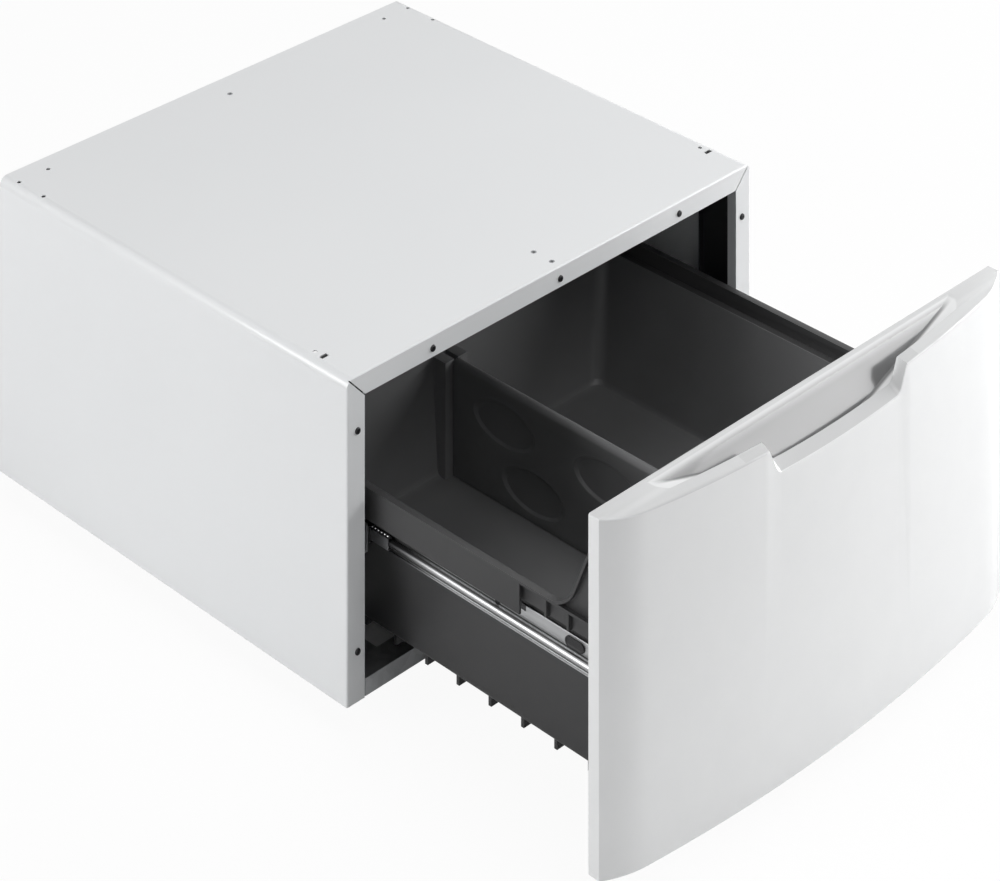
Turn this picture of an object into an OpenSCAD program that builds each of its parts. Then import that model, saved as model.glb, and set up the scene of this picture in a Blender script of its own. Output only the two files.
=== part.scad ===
// Laundry pedestal with one storage drawer, drawn with the drawer pulled open.
// X runs across the front, Y from the drawer front to the back, Z up. The origin is the
// centre of the cabinet's footprint on the floor. Inside in_cabinet() and in_drawer(),
// y = 0 is the front plane of the piece and z = 0 is the sheet metal's bottom edge.

/* [Cabinet] */
// Width of the cabinet
cab_w = 686; // [600:1:760]
// Depth of the cabinet from the front flange to the back
cab_d = 637; // [600:1:760]
// Height of the sheet metal
cab_h = 365; // [358:1:400]
// Height of the sheet metal above the floor
foot_h = 29; // [22:1:45]
// Thickness of the cabinet sheet
sheet_t = 1.2; // [0.8:0.1:2]
// Outer radius of the bends between top and sides
top_bend_r = 11; // [6:1:20]
// Outer radius of the bends between the front flange and the walls
front_bend_r = 2.5; // [2.1:0.1:5]
// Width of the side flanges beside the drawer opening
side_flange_w = 27; // [22:1:32]
// Height of the flange above the drawer opening
top_flange_h = 25; // [18:1:28]
// Depth of the lips that turn back from the flanges
lip_d = 14; // [6:1:24]
// Width of the mitre gap at the top corners
mitre_gap = 1.6; // [0.6:0.1:3]
// Height of the base rails
rail_h = 20; // [14:1:26]
// Depth of the base rails' flanges
rail_d = 32; // [20:1:40]
// Width of the flange behind the rear panel
back_flange_w = 18; // [12:1:26]
// Thickness of the rear panel
back_t = 1; // [0.8:0.1:1.5]

/* [Top holes] */
// Radius of the bracket holes near the corners
corner_hole_r = 2.8; // [2:0.1:4]
// Distance of the outer bracket holes from the side walls
corner_hole_x = 10.5; // [9:0.5:20]
// Distance of the rear bracket holes from the back
corner_hole_y = 26; // [22:0.5:40]
// Spacing of the three bracket holes in each rear corner
corner_pitch = 45; // [30:0.5:60]
// Lengthways spacing of the rear bracket holes
corner_pitch_y = 49; // [30:0.5:60]
// Distance of the front bracket holes from the side walls
front_hole_x = 15.5; // [13:0.5:24]
// Distance of the front bracket holes from the front
front_hole_y = 70; // [60:0.5:90]
// Distance of the front slots from the front
front_slot_y = 56; // [46:0.5:58]
// Outer radius of the bushings in the top
bushing_r = 3.6; // [3:0.1:5]
// Bore radius of the bushings
bushing_bore_r = 2.1; // [1.5:0.1:2.6]

/* [Feet] */
// Distance of the feet from the side walls
foot_x = 61; // [55:1:70]
// Distance of the feet from the front and the back
foot_y = 62; // [55:1:80]
// Radius of the foot pads
foot_pad_r = 20; // [14:1:24]
// Radius of the foot studs
stud_r = 5; // [4:0.5:6]
// Radial running clearance of the studs
stud_gap = 0.06; // [0.02:0.01:0.1]

/* [Drawer] */
// Distance that the drawer is pulled out
drawer_open = 370; // [300:1:380]
// Gap between the shut drawer front and the cabinet flange
shut_gap = 1; // [0.5:0.1:3]
// Distance of the bin's inside from the cabinet's sides, at its floor
floor_inset = 79; // [77:1:103]
// Distance of the bin's inside from the cabinet's sides, at its ledge
ledge_inset = 58.5; // [57:0.5:68]
// Height of the bin's floor
floor_z = 45.5; // [40:0.5:60]
// Height of the ledge inside the bin
ledge_z = 207; // [204:1:212]
// Height of the bin's rim
rim_z = 226; // [222:1:232]
// Distance of the bin's rim from the cabinet's sides
rim_inset = 39.4; // [38:0.2:43]
// Width of the bin's rim
rim_w = 9; // [8:0.5:11]
// Height of the skirt's lower edge
skirt_z = 190; // [188:0.5:196]
// Place where the skirt stops behind the drawer front
skirt_y = 140; // [120:1:160]
// How much shorter the bin is than the cabinet, at the bin's floor
bin_short = 76; // [72:1:137]
// Wall thickness of the bin
bin_t = 3; // [2.4:0.1:3]
// Radius of the rim's sweep up to the drawer front
sweep_r = 44; // [30:1:50]
// Steepest rise of the sweep, in degrees
sweep_rise = 66; // [55:1:75]
// Place where the sweep starts behind the drawer front
sweep_y = 100; // [90:1:110]
// Distance of the bin's upper edge, behind the drawer front, below the cabinet's top
bin_front_low = 47; // [43:1:65]
// Spacing of the ribs under the floor
rib_pitch = 50.4; // [40:0.1:60]
// Depth of the ribs under the floor
rib_h = 8.5; // [3:0.5:9]

/* [Divider] */
// Thickness of the divider
divider_t = 13; // [10:0.5:16]
// Height of the divider
divider_h = 141; // [120:1:146]
// Distance that the divider is lifted to take it out
divider_lift = 150; // [100:1:150]
// Depth of the guides that hold the divider's ends
guide_d = 14; // [10:1:20]
// Gap around the divider's ends
guide_gap = 0.6; // [0.3:0.1:1.5]
// Length of the oval embossings
oval_l = 104; // [60:1:120]
// Height of the oval embossings
oval_h = 50; // [30:1:54]
// Lengthways spacing of the oval embossings in one row
oval_pitch = 168; // [160:1:180]
// Depth of the oval embossings
oval_d = 1.5; // [0.5:0.1:3]

/* [Drawer front] */
// How much taller the drawer front is than the sheet metal
front_over = 11.2; // [5:0.2:15]
// Distance of its lower edge below the sheet metal's bottom edge
front_drop = 0.8; // [0:0.1:4]
// Thickness of the drawer front in the middle
front_t = 54.5; // [50:0.5:60]
// Thickness of the drawer front at its sides
front_side_t = 15; // [12:0.5:18]
// Radius of the drawer front's wide curve
front_r = 2150; // [1900:10:2500]
// Width of the tighter curve at each side of the drawer front
turn_w = 53; // [43:1:63]
// Wall thickness of the drawer front
front_wall = 3; // [2.4:0.1:4]
// Depth of the recess behind the drawer front
front_recess = 4; // [3.6:0.1:5]
// Fall of the drawer front's top towards the front, in degrees
top_fall = 14; // [8:1:16]

/* [Handle scoop] */
// Distance of the scoop's ends from the cabinet's sides
scoop_inset = 78; // [63:1:103]
// Distance of the scoop from the drawer front's back
scoop_back = 12; // [10:0.5:14]
// Width of the scoop in the middle
scoop_w = 32.5; // [28:0.5:34]
// Depth of the scoop behind the lip
scoop_depth = 34; // [28:0.5:36]
// Radius of the scoop's curved ramp
scoop_r = 45; // [40:1:80]
// Half width of the notch in the lip at its top
notch_top = 124; // [110:1:140]
// Half width of the notch in the lip at its bottom
notch_bottom = 102; // [90:1:108]
// Depth of the notch's lower edge, at the front, below the drawer front's top
notch_depth = 40.9; // [35.4:0.1:42.4]
// Rise of the notch's lower edge towards the back, in degrees
notch_rise = 35; // [25:1:45]
// Corner radius of the notch
notch_r = 8; // [4:1:12]

/* [Slides] */
// Height of the slides' centre line
slide_z = 170; // [168:0.5:172]
// Distance of the slides' mounting faces from the cabinet's sides
slide_inset = 56; // [55:0.1:56.6]
// How much shorter each slide member is than the cabinet
slide_short = 137; // [117:5:177]
// Distance of the cabinet member from the cabinet front
slide_set = 10; // [6:1:20]
// Thickness of the slide steel
slide_t = 1.2; // [1:0.1:1.3]
// Radius of the rail that the balls run on
race_r = 3.9; // [3.5:0.1:4]
// Distance of the rail's centre from the mounting face
race_x = 5.2; // [5.1:0.1:5.6]
// Radius of the balls
ball_r = 2; // [1.8:0.1:2.1]
// Running gap of the balls
ball_gap = 0.06; // [0.03:0.01:0.1]
// Spacing of the balls
ball_pitch = 5.2; // [4.8:0.1:6]
// Length of each ball cage
cage_len = 145; // [100:1:160]
// Length of the mounting plate on each drawer member
plate_len = 325; // [260:1:340]

/* [Screws] */
// Radius of the flange screws' heads
head_r = 3.8; // [3:0.1:4.5]
// Height of the flange screws' heads
head_h = 2; // [1.2:0.1:2.4]
// Radius of the screws' shafts
shaft_r = 1.9; // [1.5:0.1:2.2]
// Length of the screws' shafts
shaft_l = 9; // [6:0.5:12]

/* [Hidden] */

fine = 96;
eps = 0.01;
half_w = cab_w / 2;
inner_half = half_w - sheet_t;
open_half = half_w - side_flange_w;
open_top = cab_h - top_flange_h;

// Small gap between pieces that lie beside each other in one body
seat = 0.3;
// Thickness of the folded steel inside the cabinet
fold_t = 1.5;
// How deep the side flanges of the corner posts reach
post_d = 76;
// Width of the corner posts' rear lips
post_lip = 9;
// How far each post's lower end is above the base rails
post_clear = 3.4;
// How far each post stands back before it turns along the side wall
post_step = 4;

// Screw places
screw_low = 56.4;
screw_top_edge = 61.5;
screw_high = cab_h - screw_top_edge;
flange_screw_edge = 15;
screw_flange_z = cab_h - flange_screw_edge;
screw_inset = 133;
screw_span = half_w - screw_inset;
side_screw_edge = 16;
side_screw_x = half_w - side_screw_edge;
rear_screw_edge = 10;
rear_screw_inset = 173;
rear_screw_span = half_w - rear_screw_inset;
rear_screw_z = 40;
screw_reach = 3;
// Clearance of the screws in the bin's front wall
screw_gap = 0.05;

// Stamped ribs of the rear panel
panel_rib_w = 44;
panel_rib_inset = 163;
panel_rib_x = half_w - panel_rib_inset;
panel_rib_low = 60;
panel_rib_edge = 65;
panel_rib_high = cab_h - panel_rib_edge;
panel_rib_d = 4;
panel_gap = 0.4;

// Slots beside the front bracket holes
slot_l = 11;
slot_w = 6;

// Length of the bushings below the sheet, and the width of their collars
bushing_l = 5;
bushing_collar = 2;
bushing_rise = 0.3;
// Distances of two bushings from the front and of one from the back
bushing_first = 14;
bushing_second = 44;
bushing_last = 39;

// The angle behind the top flange
brace_inset = 8;
brace_reach = 12;

// Brackets and feet
bracket_w = 31;
bracket_reach = 32;
bracket_t = 2.5;
bracket_z = 2.2;
nut_r = 10;
nut_h = 9;
pad_h = 4;
pad_slope = 1.5;
neck_h = 6;
neck_over = 4;
hexagon_over = 3.5;
stud_rise = 16;

// The drawer front's outline: a wide curve that turns tighter towards each side
front_h = cab_h + front_over;
front_arc_half = half_w - turn_w;
edge_sin = front_arc_half / front_r;
edge_cos = sqrt(1 - edge_sin * edge_sin);
arc_drop = front_r * (1 - edge_cos);
edge_y = -front_t + arc_drop;
edge_fall = -edge_y - front_side_t;
turn_r = (turn_w * turn_w + edge_fall * edge_fall)
    / (2 * (edge_fall * edge_cos - turn_w * edge_sin));
front_top = front_h - front_drop;
top_flat = front_side_t - 1;
// The tighter curves stand out by a hair and overlap the wide one, so that they cross it
turn_bulge = 0.02;
turn_lap = 4;

notch_z = front_top - notch_depth;

// The scoop: a boat-shaped plan between a straight back and a curved lip
scoop_half = half_w - scoop_inset;
lip_r = (scoop_half * scoop_half + scoop_w * scoop_w) / (2 * scoop_w);
ramp_chord = sqrt(scoop_w * scoop_w + scoop_depth * scoop_depth);
ramp_reach = sqrt(scoop_r * scoop_r - ramp_chord * ramp_chord / 4);
ramp_y = -scoop_back - scoop_w / 2 - ramp_reach * scoop_depth / ramp_chord;
ramp_z = front_top - scoop_depth / 2 + ramp_reach * scoop_w / ramp_chord;

// Screws and bosses of the drawer front, and the plate behind it
front_screw_inset = 163;
front_screw_x = half_w - front_screw_inset;
front_screw_low = 90;
front_screw_edge = 68;
boss_r = 6;
plate_t = 1.2;
plate_hole_inset = 103;
plate_hole_x = half_w - plate_hole_inset;
plate_hole_r = 20;
plate_edge = 8;

// The bin
bin_half_floor = half_w - floor_inset;
bin_half_ledge = half_w - ledge_inset;
bin_len = cab_d - bin_short;
bin_front = -front_recess;
bin_front_z = cab_h - bin_front_low;
bin_under = floor_z - bin_t;
rear_lean = 9;
rim_half = half_w - rim_inset;
rim_in = rim_half - rim_w;
rim_spare = 5;
rim_back = bin_len + rear_lean + rim_w + bin_t + rim_spare;
corner_r = 16;
// The floor's rounded edge, in two steps
floor_round = 8;
floor_step = 2.4;
// The vertical faces for the slides
face_inset = 12;
face_below = 14;
rib_t = 4.5;
rib_first = 71;
// The skirt's two short ribs stand where the skirt is cut away
skirt_ribs = [67, 100];
skirt_rib_z = ledge_z - bin_t;

// The divider and its guides
divider_z = floor_z + 0.5;
tongue_t = 6;
tongue_low = 9;
tongue_high = 12;
guide_t = 15;
oval_rise = 61;
oval_top = 45;
oval_first = 87;
oval_stagger = 49;

// The slides, in the cross-section that looks along the slide
slide_half = half_w - slide_inset;
slide_len = cab_d - slide_short;
ball_z = race_r + ball_r + ball_gap;
channel_half = ball_z + ball_r + ball_gap;
cage_x = race_x + race_r + 0.35;
cage_t = 0.5;
cage_wall = 0.8;
channel_x = cage_x + cage_t + 0.45;
channel_lip_x = race_x - 1.4;
support_x = slide_half + channel_x + slide_t;
support_set = 4;
support_low = slide_z - 20;
support_h = 32;
support_tab = 40;
support_back = 6;
support_slot_w = 22;
support_slot_l = 60;
support_slot_r = 10;
support_slot_first = 44;
support_slot_pitch = 110;
rail_web_below = 11.5;
rail_web_above = 2.5;
rail_web_low = slide_z - rail_web_below;
rail_web_top = slide_z + rail_web_above;
rail_lip = 3.3;
rail_neck = 3;
rail_start = 1;
plate_below = 6;
plate_above = 14;
plate_low = slide_z - plate_below;
plate_top = slide_z + plate_above;
tab_above = 20.5;
tab_top = slide_z + tab_above;
tab_len = 145;
cage_front = slide_set - 28;
cage_end = 5;
balls_in_row = 6;
rivet_y = 188;
rivet_rise = 6.1;
rivet_z = slide_z + rivet_rise;
rivet_r = 2.8;
rivet_h = 1.4;
buffer_y = 71;
buffer_rise = 12.2;
buffer_z = slide_z + buffer_rise;
buffer_l = 28;
buffer_h = 11;
buffer_t = 2;

module in_cabinet() {
    translate([0, -cab_d / 2, foot_h]) children();
}

module in_drawer() {
    translate([0, -cab_d / 2 - drawer_open - shut_gap, foot_h]) children();
}

// Extrudes a shape drawn in X and Z along Y, from y0 to y1
module along_y(y0, y1) {
    translate([0, y1, 0]) rotate([90, 0, 0]) linear_extrude(height = y1 - y0) children();
}

// Extrudes a shape drawn in Y and Z along X, from x0 to x1
module along_x(x0, x1) {
    translate([x0, 0, 0]) rotate([90, 0, 90]) linear_extrude(height = x1 - x0) children();
}

module box(low, high) {
    translate(low) cube([high[0] - low[0], high[1] - low[1], high[2] - low[2]]);
}

// A plate from (x0, y0) to (x1, y1) with round corners
module round_rect(x0, y0, x1, y1, r) {
    translate([x0 + r, y0]) square([x1 - x0 - 2 * r, y1 - y0]);
    translate([x0, y0 + r]) square([x1 - x0, y1 - y0 - 2 * r]);
    for (x = [x0 + r, x1 - r], y = [y0 + r, y1 - r]) translate([x, y]) circle(r, $fn = fine);
}

// ---------------------------------------------------------------- cabinet

// A rectangle from (x0, y0) to (x1, y1) whose corners at y0 are round
module bent_rect(x0, y0, x1, y1, r) {
    translate([x0, y0 + r]) square([x1 - x0, y1 - y0 - r]);
    translate([x0 + r, y0]) square([x1 - x0 - 2 * r, r + eps]);
    for (x = [x0 + r, x1 - r]) translate([x, y0 + r]) circle(r, $fn = fine);
}

// The wrapper as a full block, drawn in by o: round top bends and round front edges
module wrapper_form(o, low, back) {
    r = top_bend_r - o;
    f = front_bend_r - o;
    w = half_w - o;
    top = cab_h - o;
    intersection() {
        along_y(o - eps, back) scale([1, -1]) bent_rect(-w, -top, w, -low, r);
        translate([0, 0, low]) linear_extrude(top - low + eps) bent_rect(-w, o, w, back, f);
        // the front edge of the top
        along_x(-w - eps, w + eps) {
            translate([o, low]) square([back - o, top - low - f]);
            translate([o + f, low]) square([back - o - f, top - low]);
            translate([o + f, top - f]) circle(f, $fn = fine);
        }
    }
}

module top_hole_places() {
    for (s = [-1, 1]) {
        translate([s * (half_w - corner_hole_x), cab_d - corner_hole_y]) children();
        translate([s * (half_w - corner_hole_x - corner_pitch), cab_d - corner_hole_y]) children();
        translate([s * (half_w - corner_hole_x), cab_d - corner_hole_y - corner_pitch_y]) children();
        translate([s * (half_w - front_hole_x), front_hole_y]) children();
    }
}

module bushing_places() {
    for (y = [bushing_first, bushing_second, cab_d - bushing_last]) translate([0, y]) children();
}

module side_screw_places() {
    for (s = [-1, 1], z = [screw_low, screw_high]) translate([s * side_screw_x, 0, z]) children();
}

module top_screw_places() {
    for (x = [-screw_span, 0, screw_span]) translate([x, 0, screw_flange_z]) children();
}

module flange_screw_places() {
    side_screw_places() children();
    top_screw_places() children();
}

module rear_screw_places() {
    for (s = [-1, 1], z = [rear_screw_z, cab_h / 2, cab_h - rear_screw_z])
        translate([s * (half_w - rear_screw_edge), cab_d, z]) children();
    for (s = [-1, 1]) translate([s * rear_screw_span, cab_d, cab_h - rear_screw_edge]) children();
}

module screw_hole(r, depth) {
    rotate([-90, 0, 0]) translate([0, 0, -depth]) cylinder(2 * depth, r = r, $fn = 32);
}

module cabinet_wrapper() color("whitesmoke") in_cabinet() {
    back_y = cab_d - back_t - sheet_t;
    difference() {
        wrapper_form(0, 0, cab_d);
        wrapper_form(sheet_t, -1, cab_d + 1);
        // drawer opening, down through the bottom edge
        box([-open_half, -1, -1], [open_half, lip_d, open_top]);
        // mitre gaps between the side flanges and the top flange
        for (s = [-1, 1]) translate([s * open_half, 0, open_top]) rotate([0, s * 45, 0])
            box([-mitre_gap / 2, -1, -2], [mitre_gap / 2, front_bend_r, 60]);
        translate([0, 0, cab_h - 5]) linear_extrude(10) {
            top_hole_places() circle(corner_hole_r, $fn = 32);
            bushing_places() circle(bushing_r, $fn = 32);
            for (s = [-1, 1]) translate([s * (half_w - front_hole_x - 1), front_slot_y])
                square([slot_l, slot_w], center = true);
        }
        flange_screw_places() screw_hole(shaft_r, screw_reach);
    }
    // lips that turn back from the flanges
    for (s = [-1, 1]) scale([s, 1, 1]) {
        box([open_half, sheet_t, 0], [open_half + sheet_t, lip_d, open_top - mitre_gap]);
    }
    box([-open_half, sheet_t, open_top], [open_half, lip_d, open_top + sheet_t]);
    // flange behind the rear panel
    difference() {
        along_y(back_y, back_y + sheet_t) difference() {
            translate([-inner_half - eps, 0]) square([2 * inner_half + 2 * eps, cab_h - top_bend_r]);
            translate([-inner_half + back_flange_w, -1])
                square([2 * (inner_half - back_flange_w), cab_h - top_bend_r + 2]);
        }
        rear_screw_places() screw_hole(shaft_r, screw_reach + sheet_t);
    }
    difference() {
        along_y(back_y, back_y + sheet_t)
            translate([-half_w + top_bend_r, cab_h - back_flange_w])
            square([cab_w - 2 * top_bend_r, back_flange_w - sheet_t + eps]);
        rear_screw_places() screw_hole(shaft_r, screw_reach + sheet_t);
    }
}

module rear_panel() color("silver") in_cabinet() {
    y0 = cab_d - back_t;
    w = inner_half - panel_gap;
    rib_half = panel_rib_w / 2;
    difference() {
        union() {
            along_y(y0, cab_d) scale([1, -1])
                bent_rect(-w, sheet_t + panel_gap - cab_h, w, -2 * seat, top_bend_r - sheet_t);
            // stamped stiffening ribs that stand inwards
            for (x = [-panel_rib_x, 0, panel_rib_x]) along_y(y0 - panel_rib_d, y0 + eps)
                round_rect(x - rib_half, panel_rib_low, x + rib_half, panel_rib_high, rib_half - 2);
        }
        for (x = [-panel_rib_x, 0, panel_rib_x]) along_y(y0 - panel_rib_d + back_t, cab_d + 1)
            round_rect(x - rib_half + 2, panel_rib_low + 2, x + rib_half - 2, panel_rib_high - 2,
                rib_half - 4);
        rear_screw_places() screw_hole(shaft_r, screw_reach + sheet_t);
    }
}

// Angle behind the top flange, held by its three screws
module front_brace() color("darkgray") in_cabinet() {
    w = open_half - brace_inset;
    z0 = open_top + sheet_t;
    z1 = cab_h - front_bend_r - seat;
    difference() {
        along_x(-w, w) {
            translate([sheet_t, z0]) square([fold_t, z1 - z0]);
            translate([sheet_t, z0]) square([lip_d + brace_reach, fold_t]);
        }
        top_screw_places() screw_hole(shaft_r, 2 * screw_reach);
    }
}

// A base rail's section: a channel with its web outside, drawn from y = 0
module rail_section() {
    difference() {
        translate([0, 2 * seat]) square([rail_d, rail_h]);
        translate([fold_t, 2 * seat + fold_t]) square([rail_d, rail_h - 2 * fold_t]);
    }
}

module base_front_rail() color("lightgray") in_cabinet() {
    along_x(-inner_half + side_flange_w, inner_half - side_flange_w) rail_section();
    // end tabs behind the side flanges
    for (s = [-1, 1]) scale([s, 1, 1])
        box([open_half + 1, lip_d + seat, 2 * seat + fold_t],
            [inner_half - 2, rail_d, 2 * (seat + fold_t)]);
}

module base_rear_rail() color("lightgray") in_cabinet() {
    w = inner_half - back_flange_w - 0.5;
    translate([0, cab_d - back_t - 0.2, 0]) scale([1, -1, 1]) along_x(-w, w) rail_section();
}

module base_side_rail(side) color("lightgray") in_cabinet() {
    scale([side, 1, 1]) translate([inner_half, 0, 0]) rotate([0, 0, 90])
        along_x(rail_d + seat, cab_d - back_t - sheet_t - rail_d - 4) rail_section();
}

// Folded steel corner post behind the side flange and along the side wall
module corner_upright(side) color("dimgray") in_cabinet() {
    low = rail_h + post_clear;
    high = cab_h - top_bend_r - 2;
    out = inner_half - seat;
    front = sheet_t;
    difference() {
        translate([0, 0, low]) linear_extrude(high - low) scale([side, 1]) {
            translate([open_half + sheet_t + 2 * seat, front])
                square([half_w - front_bend_r - open_half - sheet_t - 2 * seat, fold_t]);
            // the fold stands clear of the wrapper's own bend
            translate([half_w - front_bend_r - fold_t, front]) square([fold_t, post_step]);
            translate([half_w - front_bend_r - fold_t, front + post_step - fold_t])
                square([out - half_w + front_bend_r + fold_t, fold_t]);
            translate([out - fold_t, front + post_step - fold_t])
                square([fold_t, post_d - post_step + fold_t]);
            translate([out - post_lip, front + post_d - fold_t]) square([post_lip, fold_t]);
        }
        side_screw_places() screw_hole(shaft_r, 2 * screw_reach);
        // way through the rear lip for the slide support
        translate([side * (out - fold_t) - post_lip, front + post_d - fold_t - 1, support_low - seat])
            cube([2 * post_lip, fold_t + 2, support_tab + 2 * seat]);
    }
}

module foot_places() {
    for (s = [-1, 1], y = [foot_y, cab_d - foot_y]) translate([s * (half_w - foot_x), y, 0]) children();
}

// Four corner plates with a welded nut for each foot
module foot_brackets() color("lightgray") in_cabinet() {
    x0 = half_w - foot_x - bracket_w;
    x1 = inner_half - rail_d - seat;
    y0 = rail_d + seat;
    y1 = cab_d - foot_y - bracket_reach;
    top = bracket_z + bracket_t;
    difference() {
        union() {
            for (s = [-1, 1]) scale([s, 1, 1]) {
                box([x0, y0, bracket_z], [x1, foot_y + bracket_reach, top]);
                box([x1, y0, 2 * seat + fold_t], [inner_half - fold_t, foot_y + bracket_reach, top]);
                box([x0, y1, bracket_z], [inner_half - fold_t, cab_d - rail_d - 6, top]);
            }
            foot_places() translate([0, 0, top - eps]) cylinder(nut_h, r = nut_r, $fn = 6);
        }
        foot_places() translate([0, 0, -1]) cylinder(2 * nut_h, r = stud_r + stud_gap, $fn = 48);
    }
}

// Levelling foot: pad, neck, hexagon and stud
module foot(side, y) color("dimgray") in_cabinet()
    translate([side * (half_w - foot_x), y, -foot_h]) {
        cylinder(pad_h, r = foot_pad_r, $fn = fine);
        translate([0, 0, pad_h - eps])
            cylinder(neck_h, r1 = foot_pad_r - pad_slope, r2 = stud_r + neck_over, $fn = fine);
        translate([0, 0, pad_h + neck_h - 2 * eps]) cylinder(neck_h, r = stud_r + hexagon_over, $fn = 6);
        translate([0, 0, pad_h + neck_h]) cylinder(foot_h + stud_rise, r = stud_r, $fn = 48);
    }

// ---------------------------------------------------------------- slides

// Runs a slide section, drawn outwards from the mounting face, along Y
module slide_run(side, y0, y1) {
    scale([side, 1, 1]) along_y(y0, y1) translate([slide_half, 0]) children();
}

// Rolled channel fixed to the cabinet
module slide_channel(side) color("gainsboro") in_cabinet() {
    slide_run(side, slide_set, slide_set + slide_len) difference() {
        translate([channel_lip_x, slide_z - channel_half - slide_t])
            square([channel_x + slide_t - channel_lip_x, 2 * (channel_half + slide_t)]);
        translate([channel_lip_x - 1, slide_z - channel_half])
            square([channel_x - channel_lip_x + 1, 2 * channel_half]);
    }
}

// Folded rail that carries the channel off the side wall, with a tab up each post and wall
module slide_support(side) color("silver") in_cabinet() {
    y0 = slide_set + support_set;
    y1 = cab_d - back_t - sheet_t - support_back;
    wall = inner_half;
    post = inner_half - seat - fold_t;
    scale([side, 1, 1]) difference() {
        union() {
            along_y(y0, y1) {
                translate([support_x, support_low]) square([fold_t, support_h]);
                translate([support_x, support_low]) square([post - support_x, fold_t]);
            }
            along_y(y0, post_d - support_back) translate([post - fold_t, support_low])
                square([fold_t, support_tab]);
            along_y(post_d + sheet_t + seat, y1) {
                translate([wall - fold_t, support_low]) square([fold_t, support_tab]);
                translate([post - eps, support_low]) square([wall - post, fold_t]);
            }
        }
        // lightening slots in the web
        for (y = [post_d + support_slot_first : support_slot_pitch : y1 - support_slot_l])
            translate([(support_x + post) / 2, y, support_low - 1])
            linear_extrude(fold_t + 2) round_rect(-support_slot_w / 2, -support_slot_l / 2,
                support_slot_w / 2, support_slot_l / 2, support_slot_r);
    }
}

// Rail on the drawer: web, round race and lower lip
module slide_rail(side) color("gainsboro") in_drawer() {
    slide_run(side, rail_start, slide_len) {
        translate([slide_t, rail_web_low]) square([slide_t, rail_web_top - rail_web_low]);
        translate([slide_t, rail_web_low]) square([rail_lip, slide_t]);
        translate([slide_t, slide_z - rail_neck / 2]) square([race_x - slide_t, rail_neck]);
        translate([race_x, slide_z]) circle(race_r, $fn = fine);
    }
}

// Flat plate between the rail and the bin, with a taller tab at the front
module rail_plate(side) color("lightgray") in_drawer() {
    slide_run(side, rail_start, plate_len) translate([0, plate_low]) square([slide_t, plate_top - plate_low]);
    slide_run(side, rail_start, tab_len) translate([0, plate_low]) square([slide_t, tab_top - plate_low]);
}

// Flat-headed studs that pin each plate to the bin
module rail_rivets() color("black") in_drawer() {
    for (s = [-1, 1]) scale([s, 1, 1]) translate([slide_half + slide_t, rivet_y, rivet_z])
        rotate([0, 90, 0]) cylinder(rivet_h, r = rivet_r, $fn = 32);
}

// Oval rubber buffer on the tab
module bumper(side) color("black") in_drawer() {
    scale([side, 1, 1]) translate([slide_half + slide_t, 0, 0]) along_x(0, buffer_t)
        round_rect(buffer_y - buffer_l / 2, buffer_z - buffer_h / 2,
            buffer_y + buffer_l / 2, buffer_z + buffer_h / 2, buffer_h / 2 - 0.1);
}

module ball_places() {
    span = (balls_in_row - 1) * ball_pitch;
    for (i = [0 : balls_in_row - 1], e = [0, 1], s = [-1, 1])
        translate([race_x, cage_front + cage_end + i * ball_pitch + e * (cage_len - 2 * cage_end - span),
            slide_z + s * ball_z]) children();
}

module cage(side) color("dimgray") in_cabinet() {
    scale([side, 1, 1]) translate([slide_half, 0, 0]) difference() {
        along_y(cage_front, cage_front + cage_len) {
            translate([cage_x, slide_z - ball_z - cage_wall / 2])
                square([cage_t, 2 * ball_z + cage_wall]);
            for (s = [-1, 1]) translate([channel_lip_x, slide_z + s * ball_z - cage_wall / 2])
                square([cage_x - channel_lip_x + eps, cage_wall]);
        }
        ball_places() cylinder(2, r = ball_r + 0.1, center = true, $fn = 32);
    }
}

module balls(side) color("silver") in_cabinet() {
    scale([side, 1, 1]) translate([slide_half, 0, 0]) ball_places() sphere(ball_r, $fn = 24);
}

// ---------------------------------------------------------------- bin

// A thin level slice of the bin, used to build its drafted forms
module bin_slice(z, half, y0, y1, r) {
    translate([0, 0, z]) linear_extrude(0.1) {
        for (x = [-half + r, half - r], y = [y0 + r, y1 - r]) translate([x, y]) circle(r, $fn = 32);
    }
}

// Drafted body from the floor to the ledge, grown by t
module bin_body(t) {
    y0 = bin_front + bin_t - t;
    y1 = bin_len + t;
    low = floor_z - t;
    hull() {
        bin_slice(low, bin_half_floor + t - floor_round, y0 + floor_round, y1 - floor_round, corner_r);
        bin_slice(low + floor_step, bin_half_floor + t - floor_step, y0 + floor_step,
            y1 - floor_step, corner_r);
        bin_slice(low + floor_round, bin_half_floor + t + 1, y0, y1, corner_r);
        bin_slice(ledge_z, bin_half_ledge + t, y0, y1 + rear_lean, corner_r);
    }
}

// The cheek below the rim's line, seen from the side and drawn in by o: the line is level,
// bends up and then leans straight up to the drawer front
module sweep_area(o) {
    r = sweep_r + o;
    end_y = sweep_y - r * sin(sweep_rise);
    end_z = rim_z + sweep_r - r * cos(sweep_rise);
    lean_y = end_y - (bin_front_z - end_z) / tan(sweep_rise);
    polygon(concat(
        [[bin_front, ledge_z - bin_t], [sweep_y, ledge_z - bin_t]],
        [for (a = [0 : 3 : sweep_rise]) [sweep_y - r * sin(a), rim_z + sweep_r - r * cos(a)]],
        [[lean_y, bin_front_z], [bin_front, bin_front_z]]));
}

module bin_upper(t, low, high) {
    translate([0, 0, low]) linear_extrude(high - low)
        round_rect(-rim_in - t, bin_front + bin_t - t, rim_in + t, rim_back - rim_w + t, corner_r + t);
}

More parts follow.
